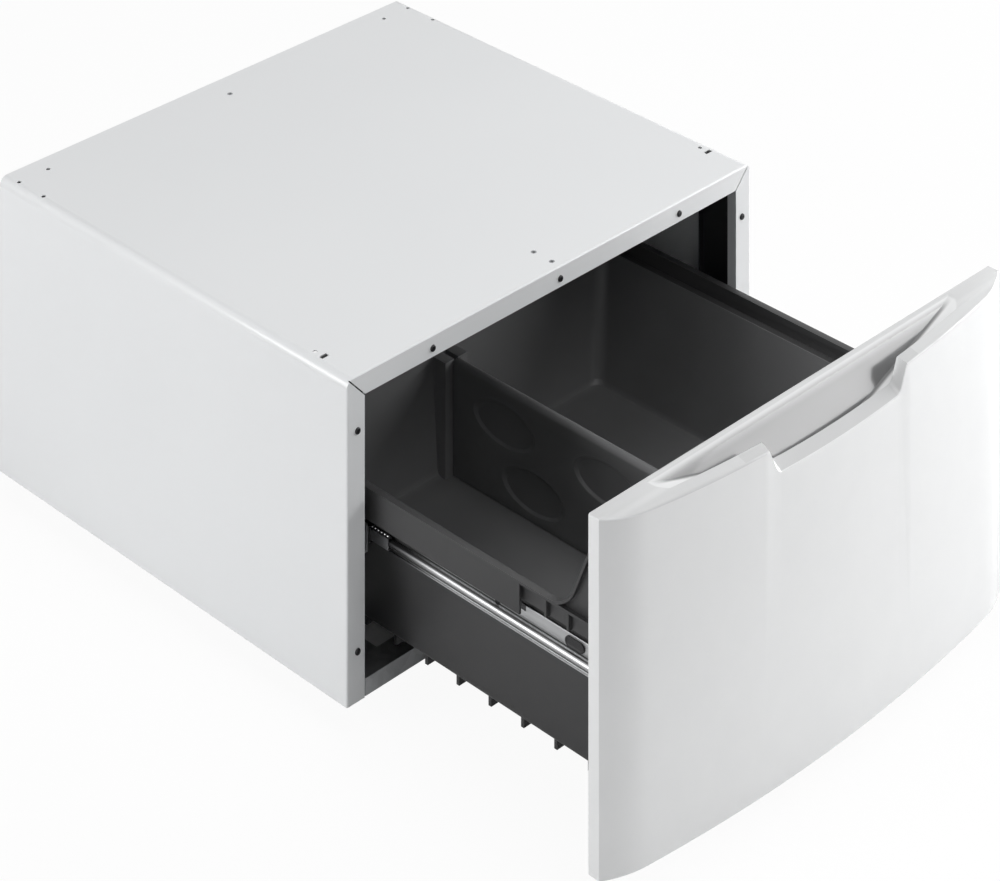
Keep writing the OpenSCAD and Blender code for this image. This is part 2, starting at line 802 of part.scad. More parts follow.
module drawer_bin() color([0.22, 0.22, 0.23]) in_drawer() {
    difference() {
        union() {
            bin_body(bin_t);
            bin_upper(bin_t, ledge_z - bin_t, rim_z);
            // rim and the skirt that turns down from it
            translate([0, 0, rim_z - bin_t]) linear_extrude(bin_t)
                round_rect(-rim_half, bin_front, rim_half, rim_back, corner_r);
            difference() {
                translate([0, 0, skirt_z]) linear_extrude(rim_z - skirt_z)
                    round_rect(-rim_half, bin_front, rim_half, rim_back, corner_r);
                translate([0, 0, skirt_z - 1]) linear_extrude(rim_z - skirt_z - bin_t + 1)
                    round_rect(-rim_half + bin_t, bin_front - 1, rim_half - bin_t,
                        rim_back - bin_t, corner_r - bin_t);
                box([-rim_half - 1, bin_front - 1, skirt_z - 1], [rim_half + 1, skirt_y, rim_z - bin_t]);
            }
            // cheeks that sweep up to the drawer front, with the rim on their edge
            for (s = [-1, 1]) scale([s, 1, 1]) {
                along_x(rim_in, rim_in + bin_t) sweep_area(0);
                along_x(rim_in, rim_half) difference() {
                    sweep_area(0);
                    sweep_area(bin_t);
                    translate([bin_front - 1, 0]) square([100, rim_z - bin_t]);
                }
                for (y = skirt_ribs)
                    box([rim_in + bin_t - 1, y, skirt_rib_z], [rim_half - 2 * seat, y + bin_t, rim_z - 1]);
                box([rim_in, bin_front, ledge_z], [rim_half, bin_front + bin_t, bin_front_z]);
            }
            // front wall behind the drawer front
            box([-rim_in - 1, bin_front, ledge_z - 1], [rim_in + 1, bin_front + bin_t, bin_front_z]);
            // vertical faces for the slides
            for (s = [-1, 1]) scale([s, 1, 1])
                box([bin_half_floor + face_inset, 0, slide_z - face_below],
                    [slide_half, bin_len + rear_lean - bin_t, skirt_z]);
            // ribs under the floor
            for (y = [rib_first : rib_pitch : bin_len - 20])
                box([-bin_half_floor, y, bin_under - rib_h], [bin_half_floor, y + rib_t, bin_under + bin_t]);
        }
        bin_body(0);
        bin_upper(0, ledge_z, rim_z + 1);
        box([-rim_in, bin_front + bin_t, rim_z - 1], [rim_in, sweep_y + 20, bin_front_z + 1]);
        // passages for the four screws of the drawer front
        front_screw_places() screw_hole(shaft_r + screw_gap, 2 * bin_t);
    }
    // guides for the divider's tongues, at the front and the rear
    for (s = [-1, 1]) scale([s, 1, 1]) {
        guide_x = tongue_t / 2 + guide_gap;
        box([guide_x, bin_front + bin_t - 1, floor_z - 1],
            [guide_x + guide_t, bin_front + bin_t + guide_d, divider_z + divider_h]);
        difference() {
            box([guide_x, bin_len - guide_d, floor_z - 1],
                [guide_x + guide_t, bin_len + rear_lean, divider_z + divider_h]);
            // the back of each rear guide leans with the wall
            translate([0, bin_len + 1, floor_z]) rotate([-atan(rear_lean / (ledge_z - floor_z)), 0, 0])
                box([-1, 0, -20], [2 * guide_t, 2 * guide_t, divider_h + 60]);
        }
    }
}

// ---------------------------------------------------------------- divider

module oval(sx, y, z) {
    scale([sx, 1, 1]) along_x(divider_t / 2 - oval_d, divider_t / 2 + 1) polygon([
        for (a = [0 : 7.5 : 359]) [y + oval_l / 2 * cos(a), z + oval_h / 2 * sin(a)]]);
}

module divider() color([0.2, 0.2, 0.21]) in_drawer() {
    r = divider_t / 2;
    y0 = bin_front + bin_t + guide_d + guide_gap;
    y1 = bin_len - guide_d - guide_gap;
    top = divider_z + divider_h;
    difference() {
        union() {
            along_y(y0, y1) {
                translate([-r, divider_z]) square([divider_t, divider_h - r]);
                translate([0, top - r]) circle(r, $fn = 64);
            }
            // tongues in the guides
            box([-tongue_t / 2, bin_front + bin_t + 1, divider_z + tongue_low],
                [tongue_t / 2, y0 + 1, top - tongue_high]);
            box([-tongue_t / 2, y1 - 1, divider_z + tongue_low],
                [tongue_t / 2, bin_len - 2, top - tongue_high]);
        }
        // two staggered rows of ovals, counted from the rear
        for (s = [-1, 1], i = [0 : 2]) {
            oval(s, y1 - oval_first - i * oval_pitch, top - oval_top);
            oval(s, y1 - oval_first - oval_stagger - i * oval_pitch, top - oval_top - oval_rise);
        }
    }
}

// ---------------------------------------------------------------- drawer front

// Plan of the drawer front, drawn in by o on the front and the sides
module front_plan(o) {
    cx = front_arc_half - turn_r * edge_sin;
    cy = edge_y + turn_r * edge_cos;
    intersection() {
        translate([0, front_r - front_t]) circle(front_r - o, $fn = 1440);
        translate([-front_arc_half, -front_t]) square([2 * front_arc_half, front_t]);
    }
    for (s = [-1, 1]) scale([s, 1]) intersection() {
        translate([cx, cy - turn_bulge]) circle(turn_r - o, $fn = 720);
        translate([front_arc_half - turn_lap, -front_t]) square([turn_w + turn_lap - o, front_t]);
    }
}

module front_screw_places() {
    for (s = [-1, 1], z = [front_screw_low, bin_front_z - front_screw_edge])
        translate([s * front_screw_x, bin_front, z]) children();
}

// Trapezium of the notch with round lower corners
module notch_shape() {
    high = 60;
    lean = atan((notch_top - notch_bottom) / (front_top - notch_z));
    grow = tan(lean);
    k = notch_r * (1 - sin(lean)) / cos(lean);
    polygon([
        [-notch_bottom - high * grow, high],
        [-notch_bottom - notch_r * grow, notch_r],
        [-notch_bottom + k, 0],
        [notch_bottom - k, 0],
        [notch_bottom + notch_r * grow, notch_r],
        [notch_bottom + high * grow, high]]);
    for (s = [-1, 1]) translate([s * (notch_bottom - k), notch_r]) circle(notch_r, $fn = 48);
}

module drawer_front() color("white") in_drawer() {
    cavity_top = notch_z - 5;
    difference() {
        translate([0, 0, -front_drop]) linear_extrude(front_h + 1) front_plan(0);
        // top that falls towards the front
        translate([0, -top_flat, front_top]) rotate([top_fall, 0, 0])
            box([-half_w - 5, -80, 0], [half_w + 5, 0, 60]);
        box([-half_w - 5, -top_flat - 1, front_top], [half_w + 5, 5, front_top + 60]);
        // scoop: curved ramp inside the boat-shaped plan
        intersection() {
            translate([0, 0, front_top - 50]) linear_extrude(70) intersection() {
                translate([0, -scoop_back - scoop_w + lip_r]) circle(lip_r, $fn = 1440);
                translate([-scoop_half, -scoop_back - scoop_w - 1]) square([2 * scoop_half, scoop_w + 4]);
            }
            translate([-scoop_half, ramp_y, ramp_z]) rotate([0, 90, 0])
                cylinder(2 * scoop_half, r = scoop_r, $fn = 360);
        }
        // notch in the lip
        translate([0, -front_t, notch_z]) rotate([notch_rise, 0, 0]) along_y(-40, 30) notch_shape();
        // hollow behind the front wall, and the shallow recess over the whole back
        translate([0, 0, front_wall - front_drop]) linear_extrude(cavity_top - front_wall + front_drop)
            front_plan(front_wall);
        box([-half_w + front_wall, -front_recess, front_wall - front_drop],
            [half_w - front_wall, 1, front_top - 5]);
    }
    // bosses that carry the back plate
    intersection() {
        union() {
            front_screw_places() rotate([90, 0, 0]) difference() {
                translate([0, 0, plate_t]) cylinder(front_t, r = boss_r, $fn = 48);
                cylinder(front_t / 2, r = shaft_r, $fn = 32);
            }
        }
        linear_extrude(front_top) front_plan(front_wall - 1);
    }
}

module front_back_plate() color("silver") in_drawer() {
    w = half_w - front_wall - 0.5;
    difference() {
        along_y(bin_front - plate_t, bin_front) round_rect(-w, front_wall, w, notch_z - plate_edge, 4);
        front_screw_places() screw_hole(shaft_r + seat, 2 * plate_t);
        for (s = [-1, 1]) translate([s * plate_hole_x, 0, slide_z])
            screw_hole(plate_hole_r, 2 * front_recess);
    }
}

// Screws that hold the bin and the back plate to the drawer front
module front_screws() color("dimgray") in_drawer() {
    front_screw_places() {
        translate([0, bin_t, 0]) rotate([-90, 0, 0]) cylinder(head_h, r = head_r + 0.7, $fn = 32);
        translate([0, bin_t + 1, 0]) rotate([90, 0, 0])
            cylinder(2 * shaft_l + bin_t + 1, r = shaft_r, $fn = 32);
    }
}

// ---------------------------------------------------------------- fasteners

module screw(r, h) {
    rotate([90, 0, 0]) cylinder(h, r1 = r, r2 = r * 0.8, $fn = 32);
    rotate([-90, 0, 0]) translate([0, 0, -eps]) cylinder(shaft_l, r = shaft_r, $fn = 32);
}

module flange_screws() color("black") in_cabinet() flange_screw_places() screw(head_r, head_h);

module rear_screws() color("dimgray") in_cabinet()
    rear_screw_places() rotate([0, 0, 180]) screw(head_r, head_h - 0.4);

module top_bushings() color("darkgray") in_cabinet() translate([0, 0, cab_h]) {
    bushing_places() difference() {
        union() {
            translate([0, 0, -sheet_t]) cylinder(sheet_t + bushing_rise, r = bushing_r, $fn = 48);
            translate([0, 0, -sheet_t - bushing_l])
                cylinder(bushing_l, r = bushing_r + bushing_collar, $fn = 48);
        }
        translate([0, 0, -3 * bushing_l]) cylinder(6 * bushing_l, r = bushing_bore_r, $fn = 48);
    }
}

cabinet_wrapper();
rear_panel();
front_brace();
base_front_rail();
base_rear_rail();
base_side_rail(-1);  // base_side_rail_left
base_side_rail(1);  // base_side_rail_right
corner_upright(-1);  // corner_upright_left
corner_upright(1);  // corner_upright_right
foot_brackets();
slide_support(-1);  // slide_support_left
slide_support(1);  // slide_support_right
slide_channel(-1);  // slide_channel_left
slide_channel(1);  // slide_channel_right
flange_screws();
rear_screws();
top_bushings();
drawer_bin();
drawer_front();
front_back_plate();
front_screws();
slide_rail(-1);  // slide_rail_left
slide_rail(1);  // slide_rail_right
rail_plate(-1);  // rail_plate_left
rail_plate(1);  // rail_plate_right
rail_rivets();
bumper(-1);  // bumper_left
bumper(1);  // bumper_right
cage(-1);  // cage_left
cage(1);  // cage_right
balls(-1);  // balls_left
balls(1);  // balls_right
divider();
foot(-1, foot_y);  // foot_front_left
foot(1, foot_y);  // foot_front_right
foot(-1, cab_d - foot_y);  // foot_rear_left
foot(1, cab_d - foot_y);  // foot_rear_right
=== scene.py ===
# %% [markdown]
# # Washer pedestal drawer
# A laundry pedestal is a low sheet-metal cabinet with one deep moulded drawer. The solids
# come from the construction model, in metres and in their real places. This script gives
# them their finishes, rounds what is round on the real object, and lights and frames it
# as in the photograph.

import math

import bmesh
import bpy
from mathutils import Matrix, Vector


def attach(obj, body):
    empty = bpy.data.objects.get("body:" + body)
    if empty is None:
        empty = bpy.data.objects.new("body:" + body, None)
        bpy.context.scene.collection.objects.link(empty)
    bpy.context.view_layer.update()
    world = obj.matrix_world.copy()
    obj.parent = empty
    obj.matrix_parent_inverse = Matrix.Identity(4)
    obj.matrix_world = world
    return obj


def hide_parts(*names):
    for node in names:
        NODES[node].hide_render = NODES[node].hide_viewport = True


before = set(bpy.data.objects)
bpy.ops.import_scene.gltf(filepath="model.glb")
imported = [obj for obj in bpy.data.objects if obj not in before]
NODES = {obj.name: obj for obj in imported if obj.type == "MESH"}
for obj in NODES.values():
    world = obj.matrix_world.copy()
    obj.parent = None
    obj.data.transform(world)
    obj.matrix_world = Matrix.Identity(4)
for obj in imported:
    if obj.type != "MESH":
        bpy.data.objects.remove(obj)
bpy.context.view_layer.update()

# %% [markdown]
# ## Camera
# The photograph looks down on the front left corner, yet its upright edges stay upright.
# It was taken with a lens shifted a long way down, or straightened afterwards. A lens shift
# of that size would push the object out of every other view, so the camera hangs on a
# stretched tripod instead: the stretch leans the picture's upward direction until it is
# the world's own, and leaves the direction of sight alone. A view that frees the camera
# from its tripod is a plain one again.

# %% Camera
TRIPOD_PLACE = (-3.0093, -3.2175, 2.6138)
TRIPOD_TURN = (29.925, 0, -45.09)
TRIPOD_STRETCH = (1, 0.7055, 1.2257)
CAMERA_TILT = 45
LENS = 146.84
SENSOR = 36

tripod = bpy.data.objects.new("tripod", None)
tripod.location = TRIPOD_PLACE
tripod.rotation_euler = [math.radians(angle) for angle in TRIPOD_TURN]
tripod.scale = TRIPOD_STRETCH
camera_data = bpy.data.cameras.new("camera")
camera_data.sensor_width = SENSOR
camera_data.lens = LENS
camera = bpy.data.objects.new("camera", camera_data)
camera.rotation_euler = (math.radians(CAMERA_TILT), 0, 0)
camera.parent = tripod
for thing in (tripod, camera):
    bpy.context.collection.objects.link(thing)
bpy.context.scene.camera = camera
bpy.context.scene.view_settings.view_transform = "Standard"
print("camera lens:", camera_data.lens)

# %% [markdown]
# ## Mixing materials
# A finish is a small net of nodes. Three helpers keep the nets short to write. The first
# lets a node's output be used in sums with the usual signs, so that each sign makes a
# node. The second makes a node, sets it and joins its inputs. The third adds what every
# finish needs: noise, cells, a blend of two colours, a bump and the surface at the end.


# %% Sums of node outputs
class Amount:
    """A node's output that can be added, multiplied and so on, each sign making a node."""

    def __init__(self, net, socket):
        self.net = net
        self.socket = socket

    def join(self, operation, first, second=0):
        node = self.net.make("ShaderNodeMath", {"operation": operation}, {0: first, 1: second})
        return Amount(self.net, node.outputs[0])

    def __add__(self, other):
        return self.join("ADD", self, other)

    def __radd__(self, other):
        return self.join("ADD", other, self)

    def __sub__(self, other):
        return self.join("SUBTRACT", self, other)

    def __rsub__(self, other):
        return self.join("SUBTRACT", other, self)

    def __mul__(self, other):
        return self.join("MULTIPLY", self, other)

    def __rmul__(self, other):
        return self.join("MULTIPLY", other, self)

    def __abs__(self):
        return self.join("ABSOLUTE", self)

    def larger(self, other):
        return self.join("MAXIMUM", self, other)

    def smaller(self, other):
        return self.join("MINIMUM", self, other)

    def step(self, low, high):
        """0 at low, 1 at high, smooth between them; low may be the larger of the two."""
        node = self.net.make(
            "ShaderNodeMapRange",
            {"interpolation_type": "SMOOTHSTEP"},
            {"Value": self, "From Min": low, "From Max": high},
        )
        return Amount(self.net, node.outputs[0])


# %% Nets of nodes
class Net:
    """The nodes of a material or of the world, made and joined one line at a time."""

    def __init__(self, block):
        block.use_nodes = True
        self.tree = block.node_tree
        self.tree.nodes.clear()

    def make(self, kind, settings=None, values=None):
        node = self.tree.nodes.new(kind)
        for key, value in (settings or {}).items():
            setattr(node, key, value)
        for key, value in (values or {}).items():
            socket = node.inputs[key]
            if isinstance(value, Amount):
                self.tree.links.new(value.socket, socket)
            elif isinstance(value, bpy.types.NodeSocket):
                self.tree.links.new(value, socket)
            else:
                socket.default_value = value
        return node


# %% Recipes for finishes
class Recipe(Net):
    """One finish: a material that knows the place on the object."""

    def __init__(self, name):
        self.material = bpy.data.materials.new(name)
        super().__init__(self.material)
        self.place = self.make("ShaderNodeTexCoord").outputs["Object"]

    def axes(self):
        """The place on the object as three amounts: X, Y and Z in metres."""
        node = self.make("ShaderNodeSeparateXYZ", {}, {"Vector": self.place})
        return [Amount(self, socket) for socket in node.outputs]

    def stretched(self, x, y, z):
        """The place on the object, multiplied along each axis."""
        node = self.make("ShaderNodeMapping", {}, {"Vector": self.place, "Scale": (x, y, z)})
        return node.outputs[0]

    def noise(self, scale, detail, roughness=0.5, place=None):
        node = self.make("ShaderNodeTexNoise", {}, {
            "Vector": place or self.place, "Scale": scale, "Detail": detail, "Roughness": roughness,
        })
        return Amount(self, node.outputs[0])

    def cells(self, scale):
        return self.make("ShaderNodeTexVoronoi", {}, {"Vector": self.place, "Scale": scale})

    def blend(self, factor, first, second):
        """A colour between two colours."""
        node = self.make("ShaderNodeMix", {"data_type": "RGBA"}, {0: factor})
        for index, value in ((6, first), (7, second)):
            if isinstance(value, bpy.types.NodeSocket):
                self.tree.links.new(value, node.inputs[index])
            else:
                node.inputs[index].default_value = (*value, 1)
        return node.outputs[2]

    def bump(self, height, distance, strength):
        node = self.make(
            "ShaderNodeBump", {}, {"Height": height, "Distance": distance, "Strength": strength}
        )
        return node.outputs[0]

    def finish(self, **values):
        """Ends the net in a surface whose sockets get these values."""
        surface = self.make("ShaderNodeBsdfPrincipled", {}, {
            key.replace("_", " "): (*value, 1) if isinstance(value, tuple) else value
            for key, value in values.items()
        })
        self.make("ShaderNodeOutputMaterial", {}, {"Surface": surface.outputs[0]})
        print("finish:", self.material.name, "with", len(self.tree.nodes), "nodes")
        return self.material


# %% [markdown]
# ## White enamel
# The cabinet is painted steel: a baked coat with a very fine ripple, called orange peel,
# and a soft gloss. A photograph of paint could be wrapped round the sheet, but the ripple
# is plain noise, so two sizes of noise feed the bump and a third varies the gloss.

# %% White enamel
enamel = Recipe("enamel")
ripple = enamel.noise(420, 2) * 0.7 + enamel.noise(1300, 1) * 0.3
drift = enamel.noise(3.5, 3)
white_enamel = enamel.finish(
    Base_Color=enamel.blend(drift, (0.800, 0.812, 0.822), (0.835, 0.845, 0.852)),
    Roughness=0.30 + drift * 0.08,
    Coat_Weight=0.25,
    Normal=enamel.bump(ripple, 0.00010, 0.5),
)

# %% [markdown]
# ## Measures of the drawer front
# The finish and the shape of the drawer front need the same measures, so they stand in
# one place. The face is part of a very wide upright cylinder whose middle lies inside the
# cabinet. The flat top starts to fall a little in front of the back.

# %% Measures of the drawer front
BACK = -0.6895
LOW = 0.0282
TOP = 0.4044
SIDE = 0.343
WIDE_RADIUS = 2.15
WIDE_Y = 1.406
FACE = WIDE_Y - WIDE_RADIUS
FALL_STARTS = BACK - 0.014
TOP_FALL = math.radians(14)
LIP = 0.0135
SCOOP_HALF = 0.263
SCOOP_BACK = BACK - 0.0075
SCOOP_LOW = 0.345
RAMP_ANGLE = math.radians(60)
print("drawer front:", round(TOP - LOW, 4), "high and", round(BACK - FACE, 4), "deep")

# %% [markdown]
# ## Moulded white drawer front
# The drawer front is glossier than the cabinet and smoother. Its gloss shows long soft
# reflections, so its bump is weaker and broader than the paint's. In the photograph the
# scoop, the notch and the flat top are darker than the face. Lamps alone leave them too
# light, so their own colour is shaded, through masks made from the measures above.

# %% Shade in the scoop
moulding = Recipe("moulding")
across, along, height = moulding.axes()
reach = abs(across)
depth = TOP - height
behind_face = along - FACE - across * across * (0.5 / WIDE_RADIUS)
behind_lip = (behind_face - LIP).step(0.0002, 0.0017)
sunk = depth.step(0.0004, 0.0064) * height.step(SCOOP_LOW - 0.010, SCOOP_LOW)
before_ramp = (SCOOP_BACK - along) * math.tan(RAMP_ANGLE) - depth
on_ramp = before_ramp.step(-0.0064, -0.0035) * (1 - before_ramp.step(0.004, 0.012))
scoop_shade = sunk * behind_lip * on_ramp * (SCOOP_HALF + 0.007 - reach).step(0.0, 0.004)
scoop_shade = scoop_shade * depth.step(-0.0096, 0.0124)
print("scoop shaded with", len(moulding.tree.nodes), "nodes")

# %% [markdown]
# The top falls away from the point where its slope starts, and the mask follows it. The
# notch is where the lip is cut: in front of the scoop, but behind the face's own skin.

# %% Drawer front plastic
FALL_LENGTH = 0.040
NOTCH_REACH = 0.150

drop = (FALL_STARTS - along).step(0.0, FALL_LENGTH) * (FALL_LENGTH * math.tan(TOP_FALL))
top_shade = (drop - depth).step(-0.0016, -0.0006) * 0.24
notch_shade = (1 - behind_lip) * behind_face.step(0.0008, 0.0016) * depth.step(0.0024, 0.0034)
notch_shade = notch_shade * height.step(SCOOP_LOW - 0.005, SCOOP_LOW)
notch_shade = notch_shade * (NOTCH_REACH - reach).step(0.0, 0.002) * 0.34
shade = scoop_shade.larger(top_shade).larger(notch_shade)

flow = moulding.noise(26, 2)
skin = moulding.noise(900, 1)
white = moulding.blend(flow, (0.835, 0.842, 0.846), (0.865, 0.870, 0.872))
white_front = moulding.finish(
    Base_Color=moulding.blend(shade, white, (0.200, 0.201, 0.203)),
    Roughness=0.20 + flow * 0.07,
    Coat_Weight=0.35,
    Normal=moulding.bump(flow * 0.8 + skin * 0.1, 0.00008, 0.4),
)

# %% [markdown]
# ## Dark moulded plastic
# The bin and its divider are charcoal polypropylene, moulded with a fine spark-eroded
# grain. The grain is a cell pattern of about a millimetre. The inside of the bin looks much
# lighter than its outside, so painted light makes its colour lighter, and a mask tells the two
# apart. It follows the inner walls, which lean outwards as those of any moulded bin do. A
# second mask paints shade, near black, into the gap under the rim, above the tab of the slide.

# %% Inside and outside of the bin: masks for painted light and shade
FLOOR_LEVEL = 0.0745
SIDE_WALL = 0.2655
SIDE_LEAN = 0.1269
SIDE_LIMIT = 0.2860
REAR_WALL = -0.1273
REAR_LEAN = 0.0557
FRONT_WALL = -0.6915
GAP_LOW = 0.2185
GAP_HIGH = 0.2330
GAP_END = -0.5505
EDGE = 0.0008

tub = Recipe("tub_plastic")
across, along, height = tub.axes()
half_width = ((height - FLOOR_LEVEL) * SIDE_LEAN + SIDE_WALL).smaller(SIDE_LIMIT)
rear = (height - FLOOR_LEVEL) * REAR_LEAN + REAR_WALL
# The inside mask marks where painted light makes the bin lighter than its outside.
inside = (half_width - abs(across)).step(0.0, EDGE) * (rear - along).step(0.0, EDGE)
inside = inside * (along - FRONT_WALL).step(0.0, EDGE)
inside = inside * height.step(FLOOR_LEVEL - 0.0013, FLOOR_LEVEL - 0.0005)
# Painted shade: a near-black band in the gap under the rim, above the slide's tab.
painted_gap_shade = height.step(GAP_LOW, GAP_LOW + 0.001) * height.step(GAP_HIGH, GAP_HIGH - EDGE)
painted_gap_shade = painted_gap_shade * (GAP_END - along).step(0.0, 0.001)
print("bin masked with", len(tub.tree.nodes), "nodes")

# %% [markdown]
# Large soft noise makes the plastic a little lighter and glossier in places, as handling
# does. The inside gets two colours of painted light, the lower one lighter, so that the
# bin's floor, which the lamps reach least, stays light.

# %% Dark plastic
grain = Amount(tub, tub.cells(1500).outputs["Distance"])
handled = tub.noise(7, 4, 0.6)
# Painted light: the inside is lighter still lower down, where the lamps reach least.
painted_light_low = height.step(0.160, 0.080)
outer = tub.blend(handled, (0.034, 0.034, 0.035), (0.043, 0.043, 0.044))
# The painted shade of the gap is mixed into the outside colour here.
outer = tub.blend(painted_gap_shade, outer, (0.006, 0.006, 0.006))
# Both inside colours are painted light, far lighter than the plastic's own charcoal.
upper = tub.blend(handled, (0.120, 0.121, 0.123), (0.160, 0.161, 0.163))
lower = tub.blend(handled, (0.135, 0.136, 0.138), (0.180, 0.181, 0.183))
painted_light_inner = tub.blend(painted_light_low, upper, lower)
dark_plastic = tub.finish(
    Base_Color=tub.blend(inside, outer, painted_light_inner),
    Roughness=0.38 + handled * 0.16,
    Normal=tub.bump(grain + tub.noise(600, 2), 0.00012, 0.35),
)

# %% [markdown]
# ## Steels
# Rolled steel has fine streaks along its length. The base rails and the rear panel are
# galvanised, where the zinc crystals show as a faint patchwork. Both are metal with a
# roughness that varies; only the pattern differs.

# %% Rolled steel
STREAKS = (700, 6, 700)


def rolled_steel(name, dark, light, rough):
    steel = Recipe(name)
    streaks = steel.noise(1, 3, 0.6, steel.stretched(*STREAKS))
    cloud = steel.noise(18, 3)
    return steel.finish(
        Base_Color=steel.blend(streaks * 0.6 + cloud * 0.4, dark, light),
        Metallic=1.0,
        Roughness=rough + streaks * 0.14,
        Normal=steel.bump(streaks, 0.00004, 0.5),
    )


ball_steel = rolled_steel("ball_steel", (0.60, 0.60, 0.61), (0.70, 0.70, 0.71), 0.10)
cage_steel = rolled_steel("cage_steel", (0.30, 0.30, 0.31), (0.42, 0.42, 0.43), 0.30)
zinc_screw = rolled_steel("zinc_screw", (0.50, 0.50, 0.51), (0.66, 0.66, 0.66), 0.26)


# %% Galvanised steel
def galvanised_steel(name, dark, light, rough):
    steel = Recipe(name)
    crystals = steel.cells(75)
    grey = steel.make("ShaderNodeSeparateColor", {}, {"Color": crystals.outputs["Color"]})
    tone = Amount(steel, grey.outputs[0]) * 0.7 + steel.noise(240, 2) * 0.3
    return steel.finish(
        Base_Color=steel.blend(tone, dark, light),
        Metallic=0.9,
        Roughness=rough + tone * 0.12,
        Normal=steel.bump(tone, 0.00004, 0.4),
    )


galvanised = galvanised_steel("galvanised", (0.50, 0.51, 0.52), (0.66, 0.67, 0.68), 0.34)
base_steel = galvanised_steel("base_steel", (0.46, 0.47, 0.48), (0.62, 0.63, 0.64), 0.32)

# %% [markdown]
# ## Slide steel
# The slides get the same rolled zinc, with shade painted into its colour: near-black lines in
# the grooves beside the ball race, and a darkening towards the cabinet. Their place on the
# slide drives the painted shade.

# %% Slide steel
LOWER_GROOVE = 0.1904
UPPER_GROOVE = 0.2035
GROOVE_HALF = 0.0010
SHADE_STARTS = -0.430
SHADE_FULL = -0.345

slide = Recipe("slide_steel")
streaks = slide.noise(1, 3, 0.6, slide.stretched(*STREAKS))
along, height = slide.axes()[1:]
# Painted shade: the zinc darkens towards the cabinet, where the slide lies in its shade.
painted_cabinet_shade = along.step(SHADE_STARTS, SHADE_FULL) * 0.9
# Painted shade: thin near-black, non-metal lines in the grooves beside the ball race.
lower_groove_shade_line = abs(height - LOWER_GROOVE).step(GROOVE_HALF, 0.0004)
upper_groove_shade_line = abs(height - UPPER_GROOVE).step(GROOVE_HALF, 0.0005)
painted_groove_shade = lower_groove_shade_line.larger(upper_groove_shade_line) * 0.95
zinc = slide.blend(streaks, (0.40, 0.405, 0.41), (0.56, 0.565, 0.57))
zinc_with_painted_shade = slide.blend(painted_cabinet_shade, zinc, (0.030, 0.030, 0.031))
slide_steel = slide.finish(
    Base_Color=slide.blend(painted_groove_shade, zinc_with_painted_shade, (0.012, 0.012, 0.012)),
    Metallic=1.0 - painted_groove_shade,
    Roughness=0.34 + streaks * 0.10,
    Normal=slide.bump(streaks, 0.00004, 0.5),
)

# %% [markdown]
# ## Small parts
# The corner posts are painted dark, the screws are blackened, the buffers and feet are
# rubber and nylon, and the bushings in the top are grey nylon. Each one is a plain base
# with its own roughness and a fine bump, so one helper mixes them all.


# %% Painted, blackened, rubber and nylon parts
def small_part(name, dark, light, rough, bump, scale, metal=0.0):
    part = Recipe(name)
    mottle = part.noise(scale, 3, 0.6)
    fine = part.noise(scale * 9, 2)
    return part.finish(
        Base_Color=part.blend(mottle, dark, light),
        Metallic=metal,
        Roughness=rough + mottle * 0.12,
        Normal=part.bump(fine, bump, 0.5),
    )


dark_steel = small_part(
    "dark_steel", (0.022, 0.022, 0.024), (0.034, 0.034, 0.036), 0.38, 0.00006, 60
)
black_screw = small_part(
    "black_screw", (0.012, 0.012, 0.013), (0.028, 0.028, 0.030), 0.28, 0.00003, 300, metal=0.4
)
grey_bushing = small_part(
    "grey_bushing", (0.30, 0.31, 0.32), (0.40, 0.41, 0.42), 0.42, 0.00003, 200
)
black_rubber = small_part(
    "black_rubber", (0.010, 0.010, 0.011), (0.018, 0.018, 0.019), 0.55, 0.00008, 150
)
foot_plastic = small_part(
    "foot_plastic", (0.045, 0.045, 0.047), (0.065, 0.065, 0.067), 0.45, 0.00006, 120
)

# %% [markdown]
# ## Dressing the solids
# Each solid arrives with a plain material named after its slot. Putting the finish of
# the same name in that slot dresses all of them at once.

# %% Dress every solid
FINISHES = {
    "white_enamel": white_enamel, "white_front": white_front, "galvanised": galvanised,
    "base_steel": base_steel, "dark_steel": dark_steel, "slide_steel": slide_steel,
    "ball_steel": ball_steel, "cage_steel": cage_steel, "black_screw": black_screw,
    "zinc_screw": zinc_screw, "grey_bushing": grey_bushing, "dark_plastic": dark_plastic,
    "black_rubber": black_rubber, "foot_plastic": foot_plastic,
}

for solid in NODES.values():
    for slot in solid.material_slots:
        slot.material = FINISHES[slot.material.name.split(".")[0]]
print("dressed:", len(NODES))

# %% [markdown]
# ## Working by hand, in code
# New pieces are shaped the way they would be in edit mode: add a primitive, select what
# is to change and use a tool on it. Faces, edges and corners are picked by where they
# are, so that the same steps find them again in every run.


# %% Helpers for picking
def only(thing):
    """Makes this the one selected and active object."""
    bpy.ops.object.select_all(action="DESELECT")
    thing.select_set(True)
    bpy.context.view_layer.objects.active = thing


def nothing():
    """Leaves nothing selected, so that an operator acts on the next new piece alone."""
    bpy.ops.object.select_all(action="DESELECT")


def pick(thing, kind, test):
    """In edit mode, selects the corners, edges or faces whose middle passes the test."""
    bpy.ops.object.mode_set(mode="EDIT")
    bpy.ops.mesh.select_mode(type=kind)
    bpy.ops.mesh.select_all(action="DESELECT")
    net = bmesh.from_edit_mesh(thing.data)
    found = 0
    for item in {"VERT": net.verts, "EDGE": net.edges, "FACE": net.faces}[kind]:
        corners = [item.co] if kind == "VERT" else [corner.co for corner in item.verts]
        middle = sum(corners, Vector()) / len(corners)
        if test(middle, item):
            item.select_set(True)
            found += 1
    bmesh.update_edit_mesh(thing.data)
    return found


def everything():
    """In edit mode, selects the whole mesh."""
    bpy.ops.mesh.select_all(action="SELECT")


# %% Helpers for shaping
CLOSE = 0.0001


def edit_mode():
    bpy.ops.object.mode_set(mode="EDIT")


